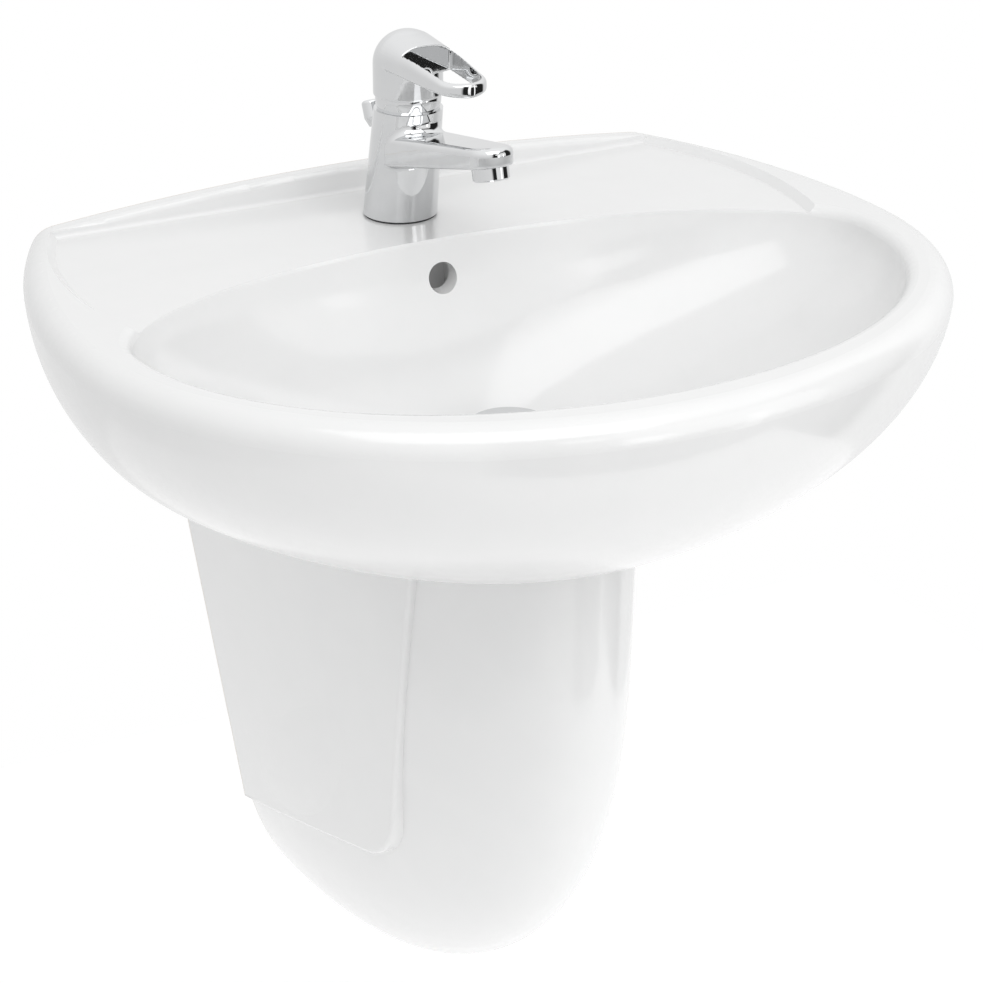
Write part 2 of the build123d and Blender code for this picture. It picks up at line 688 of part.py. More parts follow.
# Mixer body: a leaning round base that carries a rising, tapered spout
with BuildPart() as spout:
    with BuildSketch(Plane.XY.offset(BASE_Z)):
        with Locations((0, CART_Y)):
            Circle(SPOUT_ROOT_WIDTH / 2)
        with Locations((0, SPOUT_Y)):
            Circle(SPOUT_TIP_RADIUS)
        make_hull()
    extrude(amount=TAP_TOP_HEIGHT + SPOUT_TIP_TOP)
    with BuildSketch(Plane.YZ):
        with BuildLine():
            root_y = CART_Y - SPOUT_TOP_EDGE
            Polyline((root_y, DECK_Z + SPOUT_ROOT_UNDER), (root_y, DECK_Z + SPOUT_ROOT_TOP),
                     (SPOUT_END_Y, DECK_Z + SPOUT_TIP_TOP), (SPOUT_END_Y, DECK_Z + SPOUT_TIP_UNDER),
                     close=True)
        make_face()
    extrude(amount=TAP_BASE_DIA, both=True, mode=Mode.INTERSECT)
    under = spout.faces().sort_by(Axis((0, 0, 0), (0, UNDER_SLOPE, 1)))[0]
    fillet(under.edges().sort_by(Axis.Y)[:-1], SPOUT_UNDER_EDGE)
    top = spout.faces().filter_by(lambda face: face.normal_at().Z > 0.9).sort_by(SortBy.AREA)[-1]
    fillet(top.edges().sort_by(Axis.Y)[:-1], SPOUT_TOP_EDGE)

with BuildPart() as tap_body:
    with BuildSketch(Plane.XY.offset(BASE_Z)):
        with Locations((0, TAP_Y)):
            Circle(TAP_BASE_DIA / 2)
    with BuildSketch(Plane.XY.offset(BODY_TOP_Z)):
        with Locations((0, CART_Y)):
            Circle(TAP_TOP_DIA / 2)
    loft()
    add(spout.part)
    fillet(tap_body.edges(Select.NEW), SPOUT_SADDLE)
    # Pocket for the cartridge, waterway to the aerator and its thread
    with Locations((0, CART_Y, BODY_TOP_Z)):
        Cylinder(CARTRIDGE_DIA / 2 + CARTRIDGE_CLEARANCE, BODY_TOP_Z - POCKET_Z,
                 align=(Align.CENTER, Align.CENTER, Align.MAX), mode=Mode.SUBTRACT)
    add(pin(WATERWAY_START, WATERWAY_END, WATERWAY_DIA).part, mode=Mode.SUBTRACT)
    add(pin(AERATOR_SEAT - AERATOR_UP * SPOUT_UNDER_EDGE, WATERWAY_END,
            AERATOR_THREAD_DIA + 2 * THREAD_GAP).part, mode=Mode.SUBTRACT)
    # Two supply inlets, each with a slanted gallery up to a port under the cartridge
    for inlet, port in zip(INLETS, PORTS):
        add(pin((*inlet, BASE_Z), (*inlet, BASE_Z + INLET_DEPTH), INLET_BORE_DIA).part, mode=Mode.SUBTRACT)
        add(pin((*inlet, BASE_Z + INLET_DEPTH - PORT_DIA / 2), (*port, POCKET_Z + PORT_DIA / 4),
                PORT_DIA).part, mode=Mode.SUBTRACT)
    # Slanted bore for the lift rod and blind hole for the mounting stud
    add(pin(rod_point(DECK_UNDER_Z), rod_point(BODY_TOP_Z), ROD_DIA + 2 * ROD_CLEARANCE).part,
        mode=Mode.SUBTRACT)
    add(pin((0, STUD_Y, BASE_Z), (0, STUD_Y, BASE_Z + MOUNT_STUD_GRIP),
            MOUNT_STUD_DIA + 2 * THREAD_GAP).part, mode=Mode.SUBTRACT)
save(tap_body, "tap_body")
save(ring(Plane((0, TAP_Y, DECK_Z)), TAP_BASE_DIA - 2 * BASE_INSET, TAP_HOLE_DIA, BASE_GASKET),
     "base_gasket")

# Aerator in the tip of the spout
save(turned(AERATOR_SEAT, AERATOR_UP, [
    (AERATOR_BORE_DIA / 2 - AERATOR_LIP, -AERATOR_SHOW), (AERATOR_DIA / 2 - AERATOR_LIP, -AERATOR_SHOW),
    (AERATOR_DIA / 2, AERATOR_LIP - AERATOR_SHOW), (AERATOR_DIA / 2, -DISC_GAP),
    (AERATOR_THREAD_DIA / 2, -DISC_GAP), (AERATOR_THREAD_DIA / 2, AERATOR_GRIP),
    (AERATOR_BORE_DIA / 2, AERATOR_GRIP), (AERATOR_BORE_DIA / 2, AERATOR_LIP - AERATOR_SHOW),
    (AERATOR_BORE_DIA / 2 - AERATOR_LIP, AERATOR_LIP - AERATOR_SHOW)]), "aerator_sleeve")

with BuildPart() as aerator_insert:
    screen = AERATOR_SEAT - AERATOR_UP * (AERATOR_SHOW - AERATOR_LIP)
    with BuildSketch(Plane(screen, x_dir=(1, 0, 0), z_dir=AERATOR_UP)):
        Circle(AERATOR_BORE_DIA / 2 - RUNNING_FIT)
        with HexLocations(AERATOR_HOLE_DIA, AERATOR_HOLES, AERATOR_HOLES):
            Circle(AERATOR_HOLE_DIA / 2, mode=Mode.SUBTRACT)
    extrude(amount=AERATOR_INSERT)
save(aerator_insert, "aerator_insert")
save(ring(Plane(AERATOR_SEAT + AERATOR_UP * AERATOR_GRIP, x_dir=(1, 0, 0), z_dir=AERATOR_UP),
          AERATOR_THREAD_DIA, AERATOR_BORE_DIA - 2 * AERATOR_LIP, AERATOR_WASHER), "aerator_washer")

# Cartridge: the pinned spindle tips to slide the moving disc and turns with its rotor
HOUSING_TOP = POCKET_Z + CARTRIDGE_HEIGHT
NECK_TOP = HOUSING_TOP + NECK_HEIGHT
FIXED_Z = POCKET_Z + CARTRIDGE_FLOOR
MOVING_Z = FIXED_Z + FIXED_DISC + DISC_GAP
DRIVER_Z = MOVING_Z + MOVING_DISC
ROTOR_FLANGE_Z = HOUSING_TOP - ROTOR_BELOW_TOP
BALL_Z = PIVOT_Z - SPINDLE_REACH
PIVOT = Vector(0, CART_Y, PIVOT_Z)
ROTOR_BORE = ROTOR_DIA / 2 + RUNNING_FIT
CAVITY = DISC_HOUSING_DIA / 2
CHAMBER_TOP = ROTOR_FLANGE_Z + ROTOR_FLANGE + DISC_GAP

with BuildPart() as cartridge_housing:
    add(turned((0, CART_Y, 0), UP, [
        (0, POCKET_Z), (CARTRIDGE_DIA / 2, POCKET_Z), (CARTRIDGE_DIA / 2, HOUSING_TOP),
        (NECK_DIA / 2, HOUSING_TOP), (NECK_DIA / 2, NECK_TOP), (ROTOR_BORE, NECK_TOP),
        (ROTOR_BORE, CHAMBER_TOP), (CAVITY, CHAMBER_TOP), (CAVITY, FIXED_Z), (0, FIXED_Z)]).part)
    with BuildSketch(Plane.XY.offset(POCKET_Z)):
        with Locations(*PORTS):
            Circle(PORT_DIA / 2)
    extrude(amount=FIXED_Z - POCKET_Z, mode=Mode.SUBTRACT)
    add(pin(WATERWAY_START, WATERWAY_END, WATERWAY_DIA).part, mode=Mode.SUBTRACT)
save(cartridge_housing, "cartridge_housing")

with BuildPart() as fixed_disc:
    with BuildSketch(Plane.XY.offset(FIXED_Z)):
        with Locations((0, CART_Y)):
            Circle(CAVITY - DISC_GAP)
        with Locations(*PORTS):
            Circle(PORT_DIA / 2, mode=Mode.SUBTRACT)
    extrude(amount=FIXED_DISC)
save(fixed_disc, "fixed_disc")

with BuildPart() as moving_disc:
    with BuildSketch(Plane.XY.offset(MOVING_Z)):
        with Locations((0, CART_Y)):
            Circle(MOVING_DISC_DIA / 2)
    extrude(amount=MOVING_DISC)
    with BuildSketch(Plane.XY.offset(DRIVER_Z)):
        with Locations((0, CART_Y)):
            Circle(DRIVER_DIA / 2)
    extrude(amount=DRIVER_HEIGHT)
    with BuildSketch(Plane.XY.offset(BALL_Z - SPINDLE_BALL / 2)):
        with Locations((0, CART_Y)):
            Circle(SPINDLE_BALL / 2 + SPINDLE_BALL_ROOM)
    extrude(amount=DRIVER_HEIGHT, mode=Mode.SUBTRACT)
    with BuildSketch(Plane.XY.offset(MOVING_Z)):
        with Locations((0, CART_Y - PORT_BACK)):
            SlotCenterToCenter(PORT_DIA, MIX_SLOT)
    extrude(amount=MOVING_DISC / 2, mode=Mode.SUBTRACT)
save(moving_disc, "moving_disc")

with BuildPart() as spindle_rotor:
    flange_top = ROTOR_FLANGE_Z + ROTOR_FLANGE
    add(turned((0, CART_Y, 0), UP, [
        (0, ROTOR_FLANGE_Z), (ROTOR_FLANGE_DIA / 2, ROTOR_FLANGE_Z), (ROTOR_FLANGE_DIA / 2, flange_top),
        (ROTOR_DIA / 2, flange_top), (ROTOR_DIA / 2, NECK_TOP), (0, NECK_TOP)]).part)
    with Locations((0, CART_Y, PIVOT_Z)):
        Box(SPINDLE_WIDTH + 2 * RUNNING_FIT, SLOT_LENGTH, 3 * NECK_HEIGHT, mode=Mode.SUBTRACT)
    add(pin(PIVOT - (ROTOR_DIA, 0, 0), PIVOT + (ROTOR_DIA, 0, 0), SPINDLE_PIN_DIA + 2 * RUNNING_FIT).part,
        mode=Mode.SUBTRACT)
save(spindle_rotor, "spindle_rotor")

pin_reach = Vector(ROTOR_DIA / 2 - SPINDLE_PIN_INSET, 0, 0)
save(pin(PIVOT - pin_reach, PIVOT + pin_reach, SPINDLE_PIN_DIA), "spindle_pin")

with BuildPart() as spindle:
    bar_foot = ROTOR_FLANGE_Z
    with Locations((0, CART_Y, bar_foot)):
        Box(SPINDLE_WIDTH, SPINDLE_THICK, PIVOT_Z + SPINDLE_TOP - bar_foot,
            align=(Align.CENTER, Align.CENTER, Align.MIN))
    add(pin((0, CART_Y, BALL_Z), (0, CART_Y, bar_foot), SPINDLE_NECK_DIA).part)
    with Locations((0, CART_Y, BALL_Z)):
        Sphere(SPINDLE_BALL / 2)
    add(pin(PIVOT - pin_reach, PIVOT + pin_reach, SPINDLE_PIN_DIA + 2 * RUNNING_FIT).part,
        mode=Mode.SUBTRACT)
save(spindle, "spindle")

with BuildPart() as cartridge_nut:
    add(ring(Plane((0, CART_Y, HOUSING_TOP)), CARTRIDGE_DIA, NECK_DIA + 2 * HOLE_CLEARANCE,
             NUT_HEIGHT).part)
    with Locations((0, CART_Y, HOUSING_TOP + NUT_HEIGHT)):
        Box(CARTRIDGE_DIA, NUT_SLOT_WIDTH, 2 * NUT_SLOT_DEPTH, mode=Mode.SUBTRACT)
        Box(NUT_SLOT_WIDTH, CARTRIDGE_DIA, 2 * NUT_SLOT_DEPTH, mode=Mode.SUBTRACT)
save(cartridge_nut, "cartridge_nut")

with BuildPart() as collar:
    with Locations(PIVOT):
        Sphere(COLLAR_RADIUS)
    with Locations((0, CART_Y, BODY_TOP_Z)):
        Cylinder(HOOD_DIA, PIVOT_ABOVE_TOP + COLLAR_RISE, align=(Align.CENTER, Align.CENTER, Align.MIN),
                 mode=Mode.INTERSECT)
        Cylinder(CARTRIDGE_DIA / 2 + HOLE_CLEARANCE, HOOD_DIA, mode=Mode.SUBTRACT)
save(collar, "collar")

# Lever: a round hood over the collar, drawn out into an open loop
LOOP_TIP_Y = LOOP_TIP_RADIUS - LOOP_TIP_FROM_WALL
HOOD_Z = PIVOT_Z + HOOD_BOTTOM
HOOD_R = HOOD_DIA / 2
LOOP_Z = DECK_Z + LOOP_UNDER
GRUB_Z = DECK_Z + GRUB_HEIGHT


def arch(y, half, top):
    """Cross-section of the lever: straight sides under a half ellipse."""
    shoulder = DECK_Z + HOOD_SHOULDER
    with BuildSketch(Plane.XZ.offset(-y)) as section:
        with BuildLine():
            EllipticalCenterArc((0, shoulder), half, DECK_Z + top - shoulder, 0, arc_size=180)
            Polyline((-half, shoulder), (-half, LOOP_Z), (half, LOOP_Z), (half, shoulder))
        make_face()
    return section.sketch


TAPER = asin((HOOD_R - LOOP_TIP_RADIUS) / (CART_Y - LOOP_TIP_Y))
NOSE_Y = LOOP_TIP_Y - LOOP_TIP_RADIUS * sin(TAPER)
NOSE_HALF = LOOP_TIP_RADIUS * cos(TAPER)

with BuildPart() as nose:
    loft([arch(NOSE_Y, NOSE_HALF, LOOP_TIP_TOP),
          arch(-LOOP_TIP_FROM_WALL, NOSE_HALF, LOOP_TIP_TOP - NOSE_FALL)])
    with Locations((0, LOOP_TIP_Y, LOOP_Z)):
        Cylinder(LOOP_TIP_RADIUS, 3 * HOOD_R, mode=Mode.INTERSECT)

with BuildPart() as lever:
    loft([arch(CART_Y, HOOD_R - LOOP_INSET, HOOD_TOP - LOOP_INSET),
          arch(NOSE_Y, NOSE_HALF, LOOP_TIP_TOP)])
    add(nose.part)
    # Hood: a drum with a domed top
    with BuildSketch(Plane.YZ):
        with BuildLine():
            shoulder = DECK_Z + HOOD_SHOULDER
            EllipticalCenterArc((CART_Y, shoulder), HOOD_R, DECK_Z + HOOD_TOP - shoulder, 0, arc_size=90)
            Polyline((CART_Y, DECK_Z + HOOD_TOP), (CART_Y, HOOD_Z), (CART_Y + HOOD_R, HOOD_Z),
                     (CART_Y + HOOD_R, shoulder))
        make_face()
    revolve(axis=CART_AXIS)
    # The loop's opening leaves two bars and a nose
    with BuildSketch(Plane.XY.offset(HOOD_Z)):
        with Locations((0, CART_Y)):
            Circle(HOOD_R - LOOP_BAR)
        with Locations((0, LOOP_TIP_Y + LOOP_NOSE - LOOP_BAR)):
            Circle(LOOP_TIP_RADIUS - LOOP_BAR)
        make_hull()
        with Locations((0, CART_Y - WINDOW_FROM_AXIS)):
            Rectangle(HOOD_DIA, LOOP_TIP_FROM_WALL, align=(Align.CENTER, Align.MAX), mode=Mode.INTERSECT)
    extrude(amount=HOOD_TOP, mode=Mode.SUBTRACT)
    # Inside it turns about the collar on a ball-shaped hollow, and a boss holds the spindle
    with Locations(PIVOT):
        Sphere(COLLAR_RADIUS + HOOD_CLEARANCE, mode=Mode.SUBTRACT)
    with Locations((0, CART_Y, PIVOT_Z + SOCKET_ABOVE_PIVOT)):
        Cylinder(SOCKET_BOSS / 2, COLLAR_RADIUS + HOOD_CLEARANCE - SOCKET_ABOVE_PIVOT,
                 align=(Align.CENTER, Align.CENTER, Align.MIN))
        Box(SPINDLE_WIDTH + 2 * SOCKET_FIT, SPINDLE_THICK + 2 * SOCKET_FIT,
            SPINDLE_TOP - SOCKET_ABOVE_PIVOT + SOCKET_FIT,
            align=(Align.CENTER, Align.CENTER, Align.MIN), mode=Mode.SUBTRACT)
    add(pin((0, CART_Y, GRUB_Z), (0, CART_Y - 2 * WINDOW_FROM_AXIS, GRUB_Z),
            GRUB_DIA + 2 * THREAD_GAP).part, mode=Mode.SUBTRACT)
save(lever, "lever")

with BuildPart() as grub_screw:
    grub_start = CART_Y - SPINDLE_THICK / 2 - DISC_GAP
    add(pin((0, grub_start, GRUB_Z), (0, grub_start - GRUB_LENGTH, GRUB_Z), GRUB_DIA).part)
    with BuildSketch(Plane((0, grub_start - GRUB_LENGTH, GRUB_Z), z_dir=TO_WALL)):
        RegularPolygon(GRUB_DIA / 4, 6, major_radius=False)
    extrude(amount=GRUB_LENGTH / 2, mode=Mode.SUBTRACT)
save(grub_screw, "grub_screw")

# Mounting set: a stud draws the mixer down on the deck
PLATE_Z = DECK_UNDER_Z - HORSESHOE_GASKET
NUT_Z = PLATE_Z - HORSESHOE_PLATE
save(pin((0, STUD_Y, BASE_Z + MOUNT_STUD_GRIP), (0, STUD_Y, BASE_Z + MOUNT_STUD_GRIP - MOUNT_STUD_LENGTH),
         MOUNT_STUD_DIA), "mount_stud")


def horseshoe(z, thick):
    """A disc round the tap hole, open to the back for supplies and lift rod."""
    with BuildPart() as piece:
        with BuildSketch(Plane.XY.offset(z)):
            with Locations((0, TAP_Y)):
                Circle(HORSESHOE_DIA / 2)
            with Locations((0, STUD_Y + MOUNT_STUD_DIA / 2 + HOLE_CLEARANCE + HORSESHOE_PLATE)):
                SlotCenterPoint((0, HORSESHOE_DIA), (0, HORSESHOE_SLOT / 2), HORSESHOE_SLOT,
                                mode=Mode.SUBTRACT)
            with Locations((0, STUD_Y)):
                Circle(MOUNT_STUD_DIA / 2 + HOLE_CLEARANCE, mode=Mode.SUBTRACT)
        extrude(amount=thick)
    return piece


save(horseshoe(PLATE_Z, HORSESHOE_GASKET), "horseshoe_gasket")
save(horseshoe(NUT_Z, HORSESHOE_PLATE), "horseshoe_plate")

with BuildPart() as mount_nut:
    with BuildSketch(Plane.XY.offset(NUT_Z)):
        with Locations((0, STUD_Y)):
            RegularPolygon(MOUNT_NUT_ACROSS / 2, 6, major_radius=False)
            Circle(MOUNT_STUD_DIA / 2 + THREAD_GAP, mode=Mode.SUBTRACT)
    extrude(amount=-MOUNT_NUT)
save(mount_nut, "mount_nut")

# Pop-up linkage: the strap at the foot of the lift rod tips the pivot rod, which moves the plug
BALL = Vector(0, DRAIN_Y + BALL_OFFSET, FOOT_Z - BALL_BELOW_FOOT)
HALF_SWING = PIVOT_SWING / 2
PIVOT_OUT = Vector(0, cos(radians(HALF_SWING)), -sin(radians(HALF_SWING)))
ROD_REACH = Vector(0, ROD_AT_DECK.Y, ROD_AT_DECK.Z) - BALL
STRAP_RUN = (ROD_REACH.Y * PIVOT_OUT.Z - ROD_REACH.Z * PIVOT_OUT.Y) / (
    ROD_UP.Y * PIVOT_OUT.Z - ROD_UP.Z * PIVOT_OUT.Y)
EYE = ROD_AT_DECK - ROD_UP * STRAP_RUN
STRAP_PLANE = Plane(EYE, x_dir=(1, 0, 0), z_dir=ROD_UP)
ROD_END = EYE + ROD_UP * (STRAP_ABOVE_EYE + STRAP_FLOOR)
KNOB = rod_point(DECK_Z + KNOB_HEIGHT)

save(pin(ROD_END, KNOB, ROD_DIA), "lift_rod")

with BuildPart() as lift_knob:
    add(turned(KNOB, ROD_UP, [
        (ROD_DIA / 2 + SOCKET_FIT, -KNOB_LENGTH / 2), (KNOB_NECK_DIA / 2, -KNOB_LENGTH / 2),
        (KNOB_DIA / 2, -KNOB_LENGTH / 6), (KNOB_DIA / 2, KNOB_LENGTH / 2), (0, KNOB_LENGTH / 2),
        (0, SOCKET_FIT), (ROD_DIA / 2 + SOCKET_FIT, SOCKET_FIT)]).part)
    fillet(lift_knob.edges().filter_by(lambda e: e.length > 3 * KNOB_DIA), KNOB_LENGTH / 8)
save(lift_knob, "lift_knob")

with BuildPart() as clevis_strap:
    with BuildSketch(STRAP_PLANE.offset(-STRAP_BELOW_EYE)):
        Rectangle(STRAP_WIDTH, STRAP_THICK)
    extrude(amount=STRAP_BELOW_EYE + STRAP_ABOVE_EYE)
    with BuildSketch(STRAP_PLANE.offset(STRAP_ABOVE_EYE)):
        Rectangle(STRAP_WIDTH, STRAP_BLOCK_THICK)
    extrude(amount=STRAP_BLOCK)
    with BuildSketch(STRAP_PLANE.offset(STRAP_ABOVE_EYE + STRAP_FLOOR)):
        Circle(ROD_DIA / 2 + SOCKET_FIT)
    extrude(amount=STRAP_BLOCK, mode=Mode.SUBTRACT)
    with BuildSketch(Plane(EYE, x_dir=(1, 0, 0), z_dir=Vector(1, 0, 0).cross(ROD_UP))):
        SlotOverall(EYE_HEIGHT, EYE_WIDTH, rotation=90)
    extrude(amount=STRAP_THICK, both=True, mode=Mode.SUBTRACT)
    screw_at = EYE + ROD_UP * (STRAP_ABOVE_EYE + STRAP_BLOCK / 2)
    add(pin(screw_at, screw_at + (STRAP_WIDTH, 0, 0), STRAP_SCREW_DIA + 2 * THREAD_GAP).part,
        mode=Mode.SUBTRACT)
save(clevis_strap, "clevis_strap")

with BuildPart() as strap_screw:
    tip = screw_at + (ROD_DIA / 2 + SOCKET_FIT, 0, 0)
    seat = screw_at + (STRAP_WIDTH / 2 + STRAP_SCREW_STAND, 0, 0)
    add(pin(tip, seat, STRAP_SCREW_DIA).part)
    add(pin(seat, seat + (STRAP_SCREW_DIA, 0, 0), 2 * STRAP_SCREW_DIA).part)
save(strap_screw, "strap_screw")

with BuildPart() as pivot_rod:
    add(pin(BALL - PIVOT_OUT * PIVOT_INNER_ARM, BALL + PIVOT_OUT * PIVOT_OUTER_ARM, ROD_DIA).part)
    with Locations(BALL):
        Sphere(BALL_DIA / 2)
save(pivot_rod, "pivot_rod")

# Waste: flange in the drain, body clamped up from below, with the port of the pivot rod
SEAT_Z = FLOOR_Z - DRAIN_RECESS
WASTE_FLANGE_Z = SEAT_Z + SEAL_THICK / 2
TUBE_END_Z = FOOT_Z - WASTE_TUBE_BELOW_FOOT
BODY_Z = FOOT_Z - SEAL_THICK
BODY_END_Z = BODY_Z - WASTE_BODY
TAIL_TOP_Z = BODY_END_Z + TAIL_GRIP
TUBE_R = WASTE_TUBE_DIA / 2
TAIL_R = TAIL_DIA / 2
TAIL_BORE = TAIL_R - TAIL_WALL
PORT_END = BALL_DIA / 2 - BALL_PROUD

with BuildPart() as waste_flange:
    flange_top = WASTE_FLANGE_Z + FLANGE_THICK
    add(turned((0, DRAIN_Y, 0), UP, [
        (WASTE_BORE_DIA / 2, TUBE_END_Z), (TUBE_R, TUBE_END_Z), (TUBE_R, WASTE_FLANGE_Z),
        (FLANGE_DIA / 2, WASTE_FLANGE_Z), (FLANGE_DIA / 2, flange_top - FLANGE_CHAMFER),
        (FLANGE_DIA / 2 - FLANGE_CHAMFER, flange_top), (WASTE_BORE_DIA / 2 + FLANGE_MOUTH, flange_top),
        (WASTE_BORE_DIA / 2, flange_top - FLANGE_MOUTH)]).part)
    # Slot that takes the water of the overflow
    with Locations((0, DRAIN_Y, FLOOR_Z - CHINA)):
        Box(DUCT_WIDTH / 2, WASTE_TUBE_DIA, DUCT_GAP, align=(Align.CENTER, Align.MIN, Align.MAX),
            mode=Mode.SUBTRACT)
save(waste_flange, "waste_flange")
seal_bore = WASTE_TUBE_DIA + 2 * SEAL_GAP
save(ring(Plane((0, DRAIN_Y, SEAT_Z)), FLANGE_DIA - 2 * FLANGE_CHAMFER, seal_bore, SEAL_THICK / 2),
     "flange_seal")
save(ring(Plane((0, DRAIN_Y, BODY_Z)), WASTE_COLLAR_DIA, seal_bore, SEAL_THICK), "waste_gasket")

with BuildPart() as waste_body:
    body_bore = WASTE_BODY_DIA / 2 - WASTE_BODY_WALL
    tail_bore = TAIL_R + THREAD_GAP
    bore_top = TUBE_END_Z - TUBE_END_GAP
    add(turned((0, DRAIN_Y, 0), UP, [
        (TUBE_R + THREAD_GAP, BODY_Z), (WASTE_COLLAR_DIA / 2, BODY_Z),
        (WASTE_COLLAR_DIA / 2, BODY_Z - WASTE_COLLAR), (WASTE_BODY_DIA / 2, BODY_Z - WASTE_COLLAR),
        (WASTE_BODY_DIA / 2, BODY_END_Z), (tail_bore, BODY_END_Z), (tail_bore, TAIL_TOP_Z),
        (TAIL_BORE, TAIL_TOP_Z), (TAIL_BORE, TAIL_TOP_Z + TAIL_STOP), (body_bore, TAIL_TOP_Z + TAIL_STOP),
        (body_bore, bore_top), (TUBE_R + THREAD_GAP, bore_top)]).part)
    port_start = BALL_OFFSET - WASTE_BORE_DIA / 2
    port_end = BALL + (0, PORT_END, 0)
    add(pin(BALL - (0, port_start, 0), port_end, BALL_PORT_DIA).part)
    with Locations((0, DRAIN_Y, bore_top)):
        Cylinder(body_bore, bore_top - TAIL_TOP_Z - TAIL_STOP,
                 align=(Align.CENTER, Align.CENTER, Align.MAX), mode=Mode.SUBTRACT)
    add(pin(BALL - (0, port_start, 0), port_end, BALL_DIA - 2 * BALL_LIP).part, mode=Mode.SUBTRACT)
    add(pin(BALL - (0, PIVOT_SEAT_START, 0), port_end, BALL_DIA + 2 * BALL_ROOM).part, mode=Mode.SUBTRACT)
save(waste_body, "waste_body")

save(ring(Plane(BALL - (0, PIVOT_SEAT_START, 0), x_dir=(1, 0, 0), z_dir=TO_WALL),
          BALL_DIA + 2 * (BALL_ROOM - THREAD_GAP), BALL_DIA - 2 * BALL_PROUD, PIVOT_SEAT), "pivot_seat")
nut_bore = BALL_PORT_DIA / 2 + PIVOT_NUT_GAP
nut_face = PIVOT_NUT_END - PIVOT_NUT_WALL
save(turned(BALL, TO_WALL, [
    (nut_bore, -PIVOT_NUT_GRIP), (PIVOT_NUT_DIA / 2, -PIVOT_NUT_GRIP), (PIVOT_NUT_DIA / 2, PIVOT_NUT_END),
    (PIVOT_NUT_HOLE_DIA / 2, PIVOT_NUT_END), (PIVOT_NUT_HOLE_DIA / 2, nut_face), (nut_bore, nut_face)]),
    "pivot_nut")
save(ring(Plane((0, DRAIN_Y, FOOT_Z - TAIL_BELOW_FOOT)), TAIL_DIA, 2 * TAIL_BORE,
          TAIL_TOP_Z - FOOT_Z + TAIL_BELOW_FOOT), "tail_pipe")

# Plug, drawn open
PLUG_Z = WASTE_FLANGE_Z + FLANGE_THICK + SEAL_THICK + PLUG_TRAVEL
PLUG_EYE_Z = BALL.Z + BALL_OFFSET * tan(radians(HALF_SWING))
STEM_END_Z = PLUG_EYE_Z - EYE_HEIGHT

with BuildPart() as plug:
    add(turned((0, DRAIN_Y, 0), UP, [
        (0, STEM_END_Z), (PLUG_STEM_DIA / 2, STEM_END_Z), (PLUG_STEM_DIA / 2, PLUG_Z),
        (PLUG_DIA / 2 - PLUG_RIM, PLUG_Z),
        (PLUG_DIA / 2, PLUG_Z + PLUG_RIM), (PLUG_DIA / 2 - PLUG_BEVEL, PLUG_Z + PLUG_CAP - PLUG_RIM),
        (0, PLUG_Z + PLUG_CAP)]).part)
    with Locations((0, DRAIN_Y, PLUG_Z)):
        vane = WASTE_BORE_DIA - 2 * PLUG_VANE_GAP
        Box(vane, PLUG_VANE, PLUG_VANE_LENGTH, align=(Align.CENTER, Align.CENTER, Align.MAX))
        Box(PLUG_VANE, vane, PLUG_VANE_LENGTH, align=(Align.CENTER, Align.CENTER, Align.MAX))
    with BuildSketch(Plane((0, DRAIN_Y, PLUG_EYE_Z), x_dir=(1, 0, 0), z_dir=TO_WALL)):
        SlotOverall(EYE_HEIGHT, EYE_WIDTH, rotation=90)
    extrude(amount=PLUG_STEM_DIA, both=True, mode=Mode.SUBTRACT)
save(plug, "plug")
save(ring(Plane((0, DRAIN_Y, PLUG_Z - SEAL_THICK)), PLUG_DIA - 2 * PLUG_BEVEL, WASTE_BORE_DIA, SEAL_THICK),
     "plug_seal")

# Bottle trap
def below(depth):
    """Height at a depth below the foot of the basin."""
    return FOOT_Z - depth


SOCKET_R = TRAP_SOCKET_DIA / 2
PIPE_R = TAIL_R + PIPE_GAP
OUTLET = Vector(0, DRAIN_Y, below(OUTLET_BELOW_FOOT))
CUP_TOP_Z = below(TRAP_SHOULDER + TRAP_SHOULDER_THICK)
SOCKET_NUT_R = SOCKET_R + PIPE_GAP
WASHER_BORE_DIA = TAIL_DIA + 2 * THREAD_GAP
nut_end = below(TRAP_NUT_TOP + TRAP_NUT)
nut_inside = below(TRAP_NUT_TOP + TRAP_NUT_WALL)

save(turned((0, DRAIN_Y, 0), UP, [
    (PIPE_R, below(TRAP_NUT_TOP)), (TRAP_NUT_DIA / 2, below(TRAP_NUT_TOP)), (TRAP_NUT_DIA / 2, nut_end),
    (SOCKET_NUT_R, nut_end), (SOCKET_NUT_R, nut_inside), (PIPE_R, nut_inside)]), "trap_inlet_nut")
save(ring(Plane((0, DRAIN_Y, below(TRAP_SOCKET_TOP))), TRAP_SOCKET_DIA, WASHER_BORE_DIA, TRAP_WASHER),
     "trap_inlet_washer")

